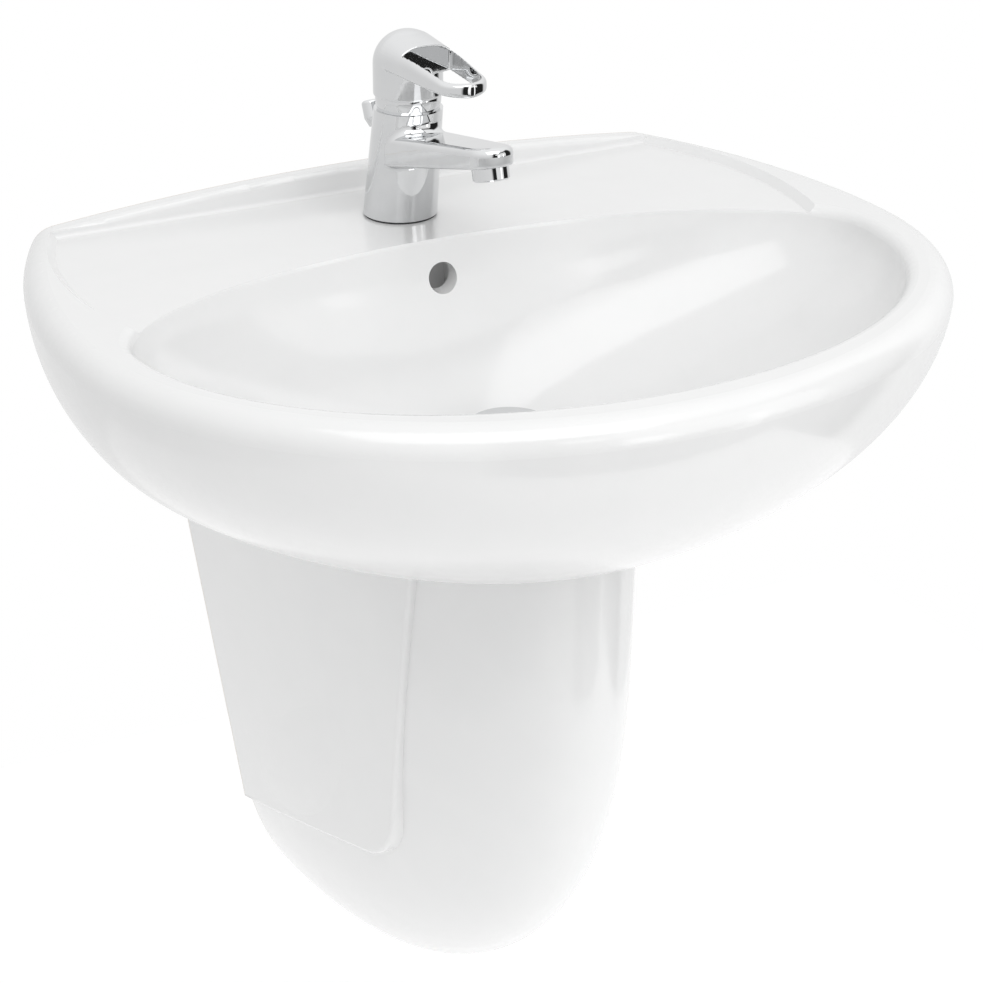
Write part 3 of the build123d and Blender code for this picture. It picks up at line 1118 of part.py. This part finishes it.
with BuildPart() as trap_head:
    head_top = below(TRAP_NUT_TOP + TRAP_NUT + TRAP_NUT_WALL)
    head_inside = head_top - TRAP_NUT_WALL
    dip_bore = DIP_TUBE_DIA / 2 + THREAD_GAP
    socket_end = OUTLET + (0, OUTLET_SOCKET_END, 0)
    add(turned((0, DRAIN_Y, 0), UP, [
        (PIPE_R, below(TRAP_SOCKET_TOP)), (SOCKET_R, below(TRAP_SOCKET_TOP)), (SOCKET_R, head_top),
        (TRAP_HEAD_DIA / 2, head_top), (TRAP_HEAD_DIA / 2, below(TRAP_SHOULDER)),
        (TRAP_CUP_DIA / 2, below(TRAP_SHOULDER)), (TRAP_CUP_DIA / 2, CUP_TOP_Z),
        (TRAP_SPIGOT_DIA / 2, CUP_TOP_Z), (TRAP_SPIGOT_DIA / 2, CUP_TOP_Z - TRAP_THREAD),
        (TRAP_HEAD_BORE_DIA / 2, CUP_TOP_Z - TRAP_THREAD), (TRAP_HEAD_BORE_DIA / 2, head_inside),
        (dip_bore, head_inside), (dip_bore, below(TRAP_LEDGE)), (PIPE_R, below(TRAP_LEDGE))]).part)
    add(pin(OUTLET + (0, TRAP_HEAD_BORE_DIA / 2, 0), socket_end, TRAP_SOCKET_DIA).part)
    with Locations((0, DRAIN_Y, head_inside)):
        Cylinder(TRAP_HEAD_BORE_DIA / 2, TRAP_HEAD_DIA / 2, align=(Align.CENTER, Align.CENTER, Align.MAX),
                 mode=Mode.SUBTRACT)
    add(pin(OUTLET + (0, DIP_TUBE_DIA / 2, 0), socket_end, 2 * PIPE_R).part, mode=Mode.SUBTRACT)
save(trap_head, "trap_head")

dip_inside = DIP_TUBE_DIA / 2 - TAIL_WALL
save(turned((0, DRAIN_Y, 0), UP, [
    (dip_inside, below(TRAP_LEDGE) + DIP_TUBE_LIP), (TAIL_R, below(TRAP_LEDGE) + DIP_TUBE_LIP),
    (TAIL_R, below(TRAP_LEDGE)), (DIP_TUBE_DIA / 2, below(TRAP_LEDGE)),
    (DIP_TUBE_DIA / 2, below(DIP_TUBE_END)), (dip_inside, below(DIP_TUBE_END))]), "dip_tube")

with BuildPart() as trap_cup:
    cup_bore = TRAP_SPIGOT_DIA / 2 + HOLE_CLEARANCE
    add(turned((0, DRAIN_Y, 0), UP, [
        (0, below(TRAP_CUP_BOTTOM)), (TRAP_CUP_DIA / 2, below(TRAP_CUP_BOTTOM)),
        (TRAP_CUP_DIA / 2, CUP_TOP_Z - SEAL_THICK), (0, CUP_TOP_Z - SEAL_THICK)]).part)
    fillet(trap_cup.edges().sort_by(Axis.Z)[0], TRAP_CUP_ROUND)
    with BuildSketch(Plane((0, DRAIN_Y, CUP_TOP_Z - SEAL_THICK))):
        Circle(cup_bore)
    extrude(amount=-(TRAP_CUP_BOTTOM - TRAP_SHOULDER - TRAP_SHOULDER_THICK - SEAL_THICK - TRAP_CUP_ROUND),
            mode=Mode.SUBTRACT)
save(trap_cup, "trap_cup")
save(ring(Plane((0, DRAIN_Y, CUP_TOP_Z - SEAL_THICK)), TRAP_CUP_DIA, 2 * cup_bore, SEAL_THICK),
     "cup_seal")

washer_end = OUTLET_SOCKET_END + TRAP_WASHER
outlet_nut_end = washer_end + TRAP_NUT_WALL
outlet_nut_start = outlet_nut_end - OUTLET_NUT
save(turned(OUTLET, TO_WALL, [
    (SOCKET_NUT_R, outlet_nut_start), (OUTLET_NUT_DIA / 2, outlet_nut_start),
    (OUTLET_NUT_DIA / 2, outlet_nut_end), (PIPE_R, outlet_nut_end), (PIPE_R, washer_end),
    (SOCKET_NUT_R, washer_end)]), "outlet_nut")
save(ring(Plane(socket_end, x_dir=(1, 0, 0), z_dir=TO_WALL), TRAP_SOCKET_DIA, WASHER_BORE_DIA, TRAP_WASHER),
     "outlet_washer")

# A groove round the outlet pipe marks how deep it goes into the wall
with BuildPart() as outlet_pipe:
    pipe_start = OUTLET + (0, TRAP_HEAD_DIA / 2 + TRAP_NUT_WALL, 0)
    add(ring(Plane(pipe_start, x_dir=(1, 0, 0), z_dir=TO_WALL), TAIL_DIA, 2 * TAIL_BORE,
             OUTLET_IN_WALL - pipe_start.Y).part)
    add(ring(Plane((0, 0, OUTLET.Z), x_dir=(1, 0, 0), z_dir=TO_WALL), 2 * TAIL_DIA,
             TAIL_DIA - 2 * OUTLET_MARK_DEPTH, OUTLET_MARK).part, mode=Mode.SUBTRACT)
save(outlet_pipe, "outlet_pipe")
save(turned((0, 0, OUTLET.Z), TO_WALL, [
    (PIPE_R, 0), (ROSETTE_DIA / 2, 0), (ROSETTE_DIA / 2, -ROSETTE_RIM),
    (TAIL_R + ROSETTE_NECK, -ROSETTE_THICK), (PIPE_R, -ROSETTE_THICK)]), "wall_rosette")
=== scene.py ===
# %% [markdown]
# # A wall-hung washbasin in Blender
# The washbasin is white vitreous china with a half pedestal below it, and a chromed single-lever
# mixer stands on its deck. The imported CAD model is the frame: it fixes every size. Blender adds
# the camera, the finishes, a lever that is closer to the photograph, and the studio.

# %% Load the frame
import json
import math

import bpy
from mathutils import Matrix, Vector


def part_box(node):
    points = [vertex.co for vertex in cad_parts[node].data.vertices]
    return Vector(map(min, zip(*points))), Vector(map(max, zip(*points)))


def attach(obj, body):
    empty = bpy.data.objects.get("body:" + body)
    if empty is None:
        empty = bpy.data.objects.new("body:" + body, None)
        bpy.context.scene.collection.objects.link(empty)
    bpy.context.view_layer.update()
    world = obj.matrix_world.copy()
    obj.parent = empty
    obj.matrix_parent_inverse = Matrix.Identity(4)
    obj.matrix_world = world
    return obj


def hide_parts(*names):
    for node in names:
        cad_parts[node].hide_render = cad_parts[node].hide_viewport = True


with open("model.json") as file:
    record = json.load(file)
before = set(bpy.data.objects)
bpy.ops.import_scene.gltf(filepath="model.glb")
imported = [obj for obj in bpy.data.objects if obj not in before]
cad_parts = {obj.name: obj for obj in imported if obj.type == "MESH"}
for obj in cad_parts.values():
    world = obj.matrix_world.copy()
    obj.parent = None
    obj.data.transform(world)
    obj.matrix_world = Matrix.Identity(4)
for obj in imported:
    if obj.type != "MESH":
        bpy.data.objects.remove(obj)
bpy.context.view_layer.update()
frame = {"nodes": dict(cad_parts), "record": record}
nodes = frame["nodes"]

# %% [markdown]
# ## Camera
# The photograph was taken with a long lens from the front left, a little above the basin. A camera
# fitted to the rim, the half pedestal and the mixer gave its place. A long lens keeps verticals
# nearly parallel, so the rim reads as a clean oval.

# %% Camera
scene = bpy.context.scene
scene.view_settings.view_transform = "Standard"

PHOTO_SIDE = 983  # pixels along one side of the square photograph
FOCAL_LENGTH = 3194.5  # in the same pixels, from the fit
eye = Vector((-0.92026, -1.93554, 0.78279))
look_at = Vector((-0.0134, -0.230, -0.0642))
lens = bpy.data.cameras.new("camera")
lens.sensor_width = 36.0
lens.lens = FOCAL_LENGTH / PHOTO_SIDE * lens.sensor_width
camera = bpy.data.objects.new("camera", lens)
camera.location = eye
camera.rotation_euler = (look_at - eye).to_track_quat("-Z", "Y").to_euler()
scene.collection.objects.link(camera)
scene.camera = camera
print(f"lens {lens.lens:.1f} mm, {(look_at - eye).length:.2f} m away")

# %% [markdown]
# ## Shader arithmetic
# Finishes are written as Python expressions. This small class wraps one socket: plus, minus and
# times add Math nodes, and `node` adds any other node. It keeps the recipes below short enough to
# read as recipes.


# %% A socket that does arithmetic
class Wire:
    """A socket of a node tree. Operators add Math nodes, node() adds any other one."""

    def __init__(self, tree, socket=None):
        self.tree = tree
        self.socket = socket

    def node(self, kind, settings=None, sockets=None, out=0):
        """Add a node: its type, its settings, then the values or links of its sockets."""
        added = self.tree.nodes.new(kind)
        for name, value in (settings or {}).items():
            setattr(added, name, value)
        for name, value in (sockets or {}).items():
            if isinstance(value, Wire):
                self.tree.links.new(value.socket, added.inputs[name])
            else:
                added.inputs[name].default_value = value
        return Wire(self.tree, added.outputs[out])

    def math(self, operation, left, right):
        """Add a Math node on two values or wires."""
        return self.node("ShaderNodeMath", {"operation": operation}, {0: left, 1: right})

    def __add__(self, other):
        return self.math("ADD", self, other)

    def __radd__(self, other):
        return self.math("ADD", other, self)

    def __sub__(self, other):
        return self.math("SUBTRACT", self, other)

    def __rsub__(self, other):
        return self.math("SUBTRACT", other, self)

    def __mul__(self, other):
        return self.math("MULTIPLY", self, other)

    def __rmul__(self, other):
        return self.math("MULTIPLY", other, self)

    def smooth(self, low, high):
        """0 below low, 1 above high, with a soft step between."""
        return self.node("ShaderNodeMapRange", {"interpolation_type": "SMOOTHSTEP"},
                         {"Value": self, "From Min": low, "From Max": high})


OBJECT_COORDINATES = 3  # outputs and inputs that share a name are told apart by number
MIX_LOW, MIX_HIGH, MIX_RESULT = 6, 7, 2


def finish(name, **constants):
    """A new material: returns it, its Principled shader and the wire of its own coordinates."""
    made = bpy.data.materials.new(name)
    made.use_nodes = True
    shader = made.node_tree.nodes["Principled BSDF"]
    for socket, value in constants.items():
        shader.inputs[socket.replace("_", " ")].default_value = value
    place = Wire(made.node_tree).node("ShaderNodeTexCoord", out=OBJECT_COORDINATES)
    return made, shader, place


def feed(shader, **links):
    """Join wires to the shader's sockets."""
    for socket, wire in links.items():
        wire.tree.links.new(wire.socket, shader.inputs[socket.replace("_", " ")])


def noise(place, scale, detail=2.0):
    """Soft random patches, about one over scale metres wide."""
    return place.node("ShaderNodeTexNoise", sockets={"Vector": place, "Scale": scale, "Detail": detail})


def tint(mask, low, high):
    """A colour that goes from low to high with a mask. Both are colours or wires."""
    low, high = (tone if isinstance(tone, Wire) else (*tone, 1.0) for tone in (low, high))
    return mask.node("ShaderNodeMix", {"data_type": "RGBA"},
                     {"Factor": mask, MIX_LOW: low, MIX_HIGH: high}, out=MIX_RESULT)


def bump(height, distance):
    """A normal that follows a height of up to some metres."""
    return height.node("ShaderNodeBump", sockets={"Height": height, "Distance": distance, "Strength": 1.0})


# %% [markdown]
# ## Glazed china
# Vitreous china is a dense white body under a clear glaze. The glaze pools very slightly, so a large
# flat reflection wavers, and its skin has a fine orange peel. Where the casting stands against the
# wall or on the kiln shelf it stays bare, matt and a little yellow. A mask on the depth from the
# wall keeps the back face unglazed.

# %% China
china, shader, place = finish("glazed_china", IOR=1.52, Coat_Weight=0.35, Coat_Roughness=0.04)
wall_depth = place.node("ShaderNodeSeparateXYZ", sockets={"Vector": place}, out=1)
bare = wall_depth.smooth(-0.0012, -0.0004)
pool = noise(place, 9.0)
cloud = noise(place, 31.0, detail=4.0)
peel = noise(place, 420.0, detail=1.0)
glaze_colour = tint(cloud, (0.815, 0.818, 0.818), (0.845, 0.846, 0.845))
feed(shader,
     Base_Color=tint(bare, glaze_colour, (0.74, 0.70, 0.63)),
     Roughness=0.16 + cloud * 0.05 + bare * 0.6,
     Normal=bump(pool + peel * 0.012, 0.0008))
print("china:", len(china.node_tree.nodes), "nodes")

# %% [markdown]
# ## Chrome
# Polished chrome is a mirror, so its look comes from what surrounds it. Only a trace of haze and a
# few dried water marks lift its roughness, and the casting under the plating waves very slightly.

# %% Chrome
chrome, shader, place = finish("polished_chrome", Metallic=1.0)
haze = noise(place, 60.0, detail=5.0)
spots = noise(place, 900.0, detail=1.0).smooth(0.68, 0.74)
wave = noise(place, 45.0)
feed(shader,
     Base_Color=tint(haze, (0.66, 0.667, 0.675), (0.71, 0.715, 0.72)),
     Roughness=0.03 + haze * 0.03 + spots * 0.05,
     Normal=bump(wave, 0.00012))
print("chrome:", len(chrome.node_tree.nodes), "nodes")

# %% [markdown]
# ## Hidden metals, rubber and plastics
# The fixings behind the china are plain trade parts: turned brass, zinc-plated steel, black rubber
# seals and moulded plastic. Each gets the grain that its making leaves, at its own scale.

# %% Brass and steel
brass, shader, place = finish("turned_brass", Metallic=1.0)
rings = place.node("ShaderNodeTexWave", {"wave_type": "BANDS", "bands_direction": "Z"},
                   {"Vector": place, "Scale": 1400.0, "Distortion": 1.5})
dull = noise(place, 140.0, detail=4.0)
feed(shader, Base_Color=tint(dull, (0.60, 0.43, 0.18), (0.76, 0.58, 0.29)),
     Roughness=0.24 + dull * 0.16, Normal=bump(rings, 0.00003))

steel, shader, place = finish("zinc_plated_steel", Metallic=1.0)
grains = place.node("ShaderNodeTexVoronoi", sockets={"Vector": place, "Scale": 700.0})
film = noise(place, 90.0, detail=4.0)
feed(shader, Base_Color=tint(film, (0.52, 0.53, 0.55), (0.68, 0.69, 0.70)),
     Roughness=0.28 + film * 0.18, Normal=bump(grains, 0.00002))

# %% Rubber and plastics
rubber, shader, place = finish("black_rubber", IOR=1.52)
bloom = noise(place, 120.0, detail=5.0)
skin = noise(place, 1600.0)
feed(shader, Base_Color=tint(bloom, (0.016, 0.016, 0.017), (0.045, 0.045, 0.048)),
     Roughness=0.62 + bloom * 0.2, Normal=bump(skin, 0.00004))


def moulded(name, low, high, gloss):
    """Moulded plastic: a satin skin with faint flow marks."""
    made, shader, place = finish(name, IOR=1.49)
    flow = noise(place, 38.0, detail=3.0)
    satin = noise(place, 1100.0)
    feed(shader, Base_Color=tint(flow, low, high), Roughness=gloss + flow * 0.1,
         Normal=bump(satin, 0.00003))
    return made


white_plastic = moulded("white_plastic", (0.77, 0.77, 0.76), (0.82, 0.82, 0.81), 0.26)
grey_plastic = moulded("grey_plastic", (0.22, 0.225, 0.235), (0.30, 0.305, 0.315), 0.4)
valve_ceramic = moulded("valve_ceramic", (0.80, 0.78, 0.73), (0.86, 0.84, 0.80), 0.12)
print("moulded:", white_plastic.name, grey_plastic.name, valve_ceramic.name)

# %% [markdown]
# ## Finishes on the solids
# The record already says which slot each solid belongs to, so one table turns slots into finishes.

# %% Hand out the finishes
by_slot = {"china": china, "chrome": chrome, "brass": brass, "steel": steel, "rubber": rubber,
           "white_plastic": white_plastic, "grey_plastic": grey_plastic, "valve_ceramic": valve_ceramic}
for piece in frame["record"]["subparts"]:
    solid = nodes[piece["node"]]
    solid.data.materials.clear()
    solid.data.materials.append(by_slot[piece["material_slot"]])

# %% [markdown]
# ## The lever
# The lever is one casting: a domed hood over the cartridge and a thin loop to push with. The loop of
# the solid is longer and thicker than the photographed one, so the lever is made anew in the same
# place. It is made the way a model maker would: rough skins are joined, the holes are cut out, and
# everything is remeshed finely and smoothed, which rounds all edges as polishing does.

# %% Lever sizes
hood_low, hood_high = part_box("lever")
HOOD_R = hood_high.x
AXIS_Y = hood_high.y - HOOD_R
HOOD_BASE, HOOD_TOP = hood_low.z, hood_high.z
SHOULDER = 0.1895  # the drum turns into the dome here
SEAM = 0.0002  # the loop starts this far inside the hood
POLE = 0.0002  # the hood's skin ends in rings of this radius

NOSE_TIP = -0.1785  # the photographed loop ends here
NOSE_R = 0.0176
NOSE_Y = NOSE_TIP + NOSE_R
BAR = 0.0036  # thickness of the loop's bars, seen from above
HOLE_BACK = -0.113  # the finger hole starts here

grub_low, grub_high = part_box("grub_screw")
GRUB_Z = (grub_low.z + grub_high.z) / 2
GRUB_PLAY = 0.0001
GRUB_R = grub_high.x + GRUB_PLAY
BOSS_R = 2 * GRUB_R
BOSS_BACK = -0.095

# Along the lever, from the axis to the tip: ridge, underside, widest line, and a section's power,
# which is 1 for an ellipse and less for a squarer outline
TOP = [(AXIS_Y, HOOD_TOP - SEAM), (-0.120, 0.2072), (NOSE_TIP, 0.1980)]
UNDER = [(AXIS_Y, 0.1875), (-0.150, 0.1880), (NOSE_TIP, 0.1893)]
SIDE = [(AXIS_Y, 0.1910), (NOSE_TIP, 0.1935)]
POWER = [(AXIS_Y, 0.95), (-0.130, 0.62), (NOSE_TIP, 0.50)]
print(f"lever axis at {AXIS_Y:.4f}, hood {2 * HOOD_R:.4f} wide, loop to {NOSE_TIP}")


# %% Outlines
def steps(low, high, count):
    """Evenly spaced values, both ends included."""
    return [low + (high - low) * i / (count - 1) for i in range(count)]


def circle(count):
    """Angles once around, without the last, which is the first again."""
    return steps(0.0, 2 * math.pi, count + 1)[:-1]


def along(at, knots):
    """Straight lines through knots."""
    for (a, low), (b, high) in zip(knots, knots[1:]):
        if (at - a) * (at - b) <= 0:
            return low + (high - low) * (at - a) / (b - a)
    return knots[-1][1]


def half_width(y, inset=0.0):
    """Half the width of the lever seen from above: a taper that ends in a round nose."""
    if y > NOSE_Y:
        return along(y, [(AXIS_Y, HOOD_R - SEAM), (NOSE_Y, NOSE_R)]) - inset
    return math.sqrt(max((NOSE_R - inset) ** 2 - (NOSE_Y - y) ** 2, 0.0))


def to_nose(start, count, inset=0.0):
    """Places along the lever from start to the tip, closer together round the nose."""
    past_tangent, before_tip = 0.08, 1.56
    return steps(start, NOSE_Y, count) + [NOSE_Y - (NOSE_R - inset) * math.sin(a)
                                          for a in steps(past_tangent, before_tip, 18)]


def level_ring(radius, z):
    """A circle about the lever's axis."""
    return [(radius * math.cos(t), AXIS_Y + radius * math.sin(t), z) for t in circle(64)]


def upright_ring(radius, y):
    """A circle about the grub screw's axis."""
    return [(radius * math.cos(t), y, GRUB_Z + radius * math.sin(t)) for t in circle(48)]


def upright_box(half, y, low, high):
    """A rectangle across the lever."""
    return [(-half, y, low), (half, y, low), (half, y, high), (-half, y, high)]


def loop_section(y):
    """The outline across the loop, before the finger hole is cut."""
    side, outline = along(y, SIDE), []
    for t in circle(48):
        across, up = (math.copysign(abs(part) ** along(y, POWER), part)
                      for part in (math.cos(t), math.sin(t)))
        reach = along(y, TOP if up > 0 else UNDER) - side
        outline.append((half_width(y) * across, y, side + abs(up) * reach))
    return outline


# %% Skins of the lever
def skinned(name, *skins):
    """An object of closed skins, each given as outlines with equally many points."""
    points, faces = [], []
    for outlines in skins:
        count = len(outlines[0])
        first, last = len(points), len(points) + (len(outlines) - 1) * count
        for outline in outlines:
            points.extend(outline)
        for row in range(first, last, count):
            for j in range(count):
                k = (j + 1) % count
                faces.append([row + j, row + k, row + count + k, row + count + j])
        faces.append([first + j for j in reversed(range(count))])
        faces.append([last + j for j in range(count)])
    made = bpy.data.meshes.new(name)
    made.from_pydata(points, [], faces)
    made.validate()
    item = bpy.data.objects.new(name, made)
    scene.collection.objects.link(item)
    return item


dome = [level_ring(max(HOOD_R * math.cos(a), POLE), SHOULDER + (HOOD_TOP - SHOULDER) * math.sin(a))
        for a in steps(0.0, math.pi / 2, 14)]
hood = [level_ring(POLE, HOOD_BASE), level_ring(HOOD_R, HOOD_BASE), *dome]
loop = [loop_section(y) for y in to_nose(AXIS_Y, 20)]
boss = [upright_ring(BOSS_R, BOSS_BACK), upright_ring(BOSS_R, HOLE_BACK)]
rough = skinned("lever_rough", hood, loop, boss)
print("lever skins:", len(rough.data.vertices), "points")

# %% Cuts in the lever
FIT = 0.0006  # room that the smoothing below needs
BEYOND = 0.02  # cutters reach past the surface they cut
PIVOT_Z = 0.1665
HOLLOW_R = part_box("collar")[1].x + 0.0003
NEAR_POLE = 0.02  # radians

finger_hole = skinned("finger_hole", [upright_box(half_width(y, BAR), y, HOOD_BASE - BAR, HOOD_TOP + BAR)
                                      for y in to_nose(HOLE_BACK, 8, BAR)])
hollow = skinned("hollow", [[(HOLLOW_R * math.sin(a) * math.cos(t),
                              AXIS_Y + HOLLOW_R * math.sin(a) * math.sin(t),
                              PIVOT_Z + HOLLOW_R * math.cos(a)) for t in circle(48)]
                            for a in steps(math.pi - NEAR_POLE, NEAR_POLE, 30)])
spindle_low, spindle_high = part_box("spindle")
grub_hole = skinned("grub_hole", [upright_ring(GRUB_R + FIT, y)
                                  for y in (spindle_low.y, HOLE_BACK - BEYOND)])
spindle_socket = skinned("spindle_socket", [
    upright_box(spindle_high.x + FIT, y, PIVOT_Z, spindle_high.z + FIT)
    for y in (spindle_high.y + FIT, spindle_low.y - FIT)])
cutters = (finger_hole, hollow, grub_hole, spindle_socket)
print("cutters:", *(cutter.name for cutter in cutters))

# %% Lever, joined and polished
JOIN_GRID, POLISH_GRID = 0.0005, 0.00045
join = rough.modifiers.new("join", "REMESH")
join.mode, join.voxel_size = "VOXEL", JOIN_GRID
for cutter in cutters:
    cut = rough.modifiers.new(cutter.name, "BOOLEAN")
    cut.operation, cut.solver, cut.object = "DIFFERENCE", "MANIFOLD", cutter
refine = rough.modifiers.new("refine", "REMESH")
refine.mode, refine.voxel_size = "VOXEL", POLISH_GRID
polish = rough.modifiers.new("polish", "SMOOTH")
polish.factor, polish.iterations = 0.5, 8
bpy.context.view_layer.update()
cast = bpy.data.meshes.new_from_object(rough.evaluated_get(bpy.context.evaluated_depsgraph_get()))
cast.materials.clear()
cast.materials.append(chrome)
cast.shade_smooth()
lever = bpy.data.objects.new("lever_cast", cast)
scene.collection.objects.link(lever)
for helper in (rough, *cutters):
    bpy.data.objects.remove(helper)
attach(lever, "lever")
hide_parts("lever")
print("lever:", len(cast.polygons), "faces")

# %% [markdown]
# ## Studio light
# The photograph is a white cut-out: light comes from all around, a little more from above and from
# the front right, and no highlight on the china is hard. Very large soft boxes do that, because a
# box's glare on glaze depends on its brightness and not on its power.


# %% Soft boxes
def soft_box(name, at, towards, size, glare):
    """A rectangular area lamp that looks at a point, set by how bright its face is."""
    lamp = bpy.data.lights.new(name, "AREA")
    lamp.shape = "RECTANGLE"
    lamp.size, lamp.size_y = size
    lamp.energy = glare * math.pi * size[0] * size[1]
    box = bpy.data.objects.new(name, lamp)
    box.location = at
    box.rotation_euler = (Vector(towards) - Vector(at)).to_track_quat("-Z", "Y").to_euler()
    scene.collection.objects.link(box)
    print(f"{name}: {lamp.energy:.0f} W over {size[0] * size[1]:.1f} square metres")


middle = (0.0, -0.22, -0.05)
soft_box("overhead_box", (-0.3, -1.5, 2.2), middle, (2.6, 2.0), 1.5)
soft_box("front_box", (1.4, -2.5, 0.6), middle, (2.4, 2.2), 1.0)

# %% [markdown]
# ## Floor
# A pale floor lies 85 cm under the rim, which is the usual height of a washbasin. It glows a little
# so that it fades into the white around it, and it still takes the soft shadow of the basin.

# %% Floor
floor_finish, shader, place = finish("pale_floor", Roughness=0.9, Emission_Strength=0.32)
grain = noise(place, 240.0, detail=3.0)
feed(shader, Base_Color=tint(grain, (0.86, 0.86, 0.86), (0.88, 0.88, 0.88)),
     Emission_Color=tint(grain, (0.98, 0.98, 0.98), (1.0, 1.0, 1.0)))
FLOOR_Z, FLOOR_Y, REACH = -0.765, -0.2, 1.0
floor_mesh = bpy.data.meshes.new("floor")
floor_mesh.from_pydata([(x * REACH, FLOOR_Y + y * REACH, FLOOR_Z)
                        for x, y in ((-1, -1), (1, -1), (1, 1), (-1, 1))], [], [(0, 1, 2, 3)])
floor_mesh.materials.append(floor_finish)
floor = bpy.data.objects.new("floor", floor_mesh)
scene.collection.objects.link(floor)
print("floor at", FLOOR_Z)

# %% [markdown]
# ## What the chrome sees
# Chrome has no colour of its own. In the photograph its left and top are pale because they mirror
# white walls, and whatever faces the room is black with small bright windows. The world does both:
# rays that bounce off a shiny surface see a room with a dark front-right side, all others plain white.


# %% World
def within(wire, low, high, soft):
    """1 between two values and 0 outside, with soft edges."""
    return wire.smooth(low - soft, low + soft) * (1.0 - wire.smooth(high - soft, high + soft))


world = bpy.data.worlds.new("studio")
world.use_nodes = True
scene.world = world
air = Wire(world.node_tree)
heading = air.node("ShaderNodeTexCoord")
split = heading.node("ShaderNodeSeparateXYZ", sockets={"Vector": heading})
along_x, along_y, height = (Wire(world.node_tree, item) for item in split.socket.node.outputs)
turn = air.math("ARCTAN2", along_x, -1.0 * along_y)
walls = 0.86 + height.smooth(-0.2, 0.9) * 0.30
# Each window: from and to in radians from straight ahead, and in height of a ray that is 1 long
WINDOWS = (((0.16, 0.36), (-0.30, 0.10)), ((0.66, 0.74), (-0.55, 0.20)), ((-0.05, 0.12), (0.25, 0.42)))
WINDOW_EDGE, WINDOW_LIGHT, DARKNESS = 0.02, 1.6, 0.02
dark_side = within(turn, -0.30, 1.60, 0.12) * within(height, -0.92, 0.66, 0.06)
windows = sum(within(turn, *sideways, WINDOW_EDGE) * within(height, *upright, WINDOW_EDGE)
              for sideways, upright in WINDOWS)
mirrored = walls * (1.0 - dark_side) + dark_side * (DARKNESS + windows * WINDOW_LIGHT)
light_path = air.node("ShaderNodeLightPath")
camera_ray, glossy_ray = (Wire(world.node_tree, light_path.socket.node.outputs[name])
                          for name in ("Is Camera Ray", "Is Glossy Ray"))
ROOM_LIGHT = 0.71
strength = camera_ray + (1.0 - camera_ray) * (glossy_ray * mirrored + (1.0 - glossy_ray) * ROOM_LIGHT)
world.node_tree.links.new(strength.socket, world.node_tree.nodes["Background"].inputs["Strength"])
world.node_tree.nodes["Background"].inputs["Color"].default_value = (1.0, 1.0, 1.0, 1.0)
print("world:", len(world.node_tree.nodes), "nodes")
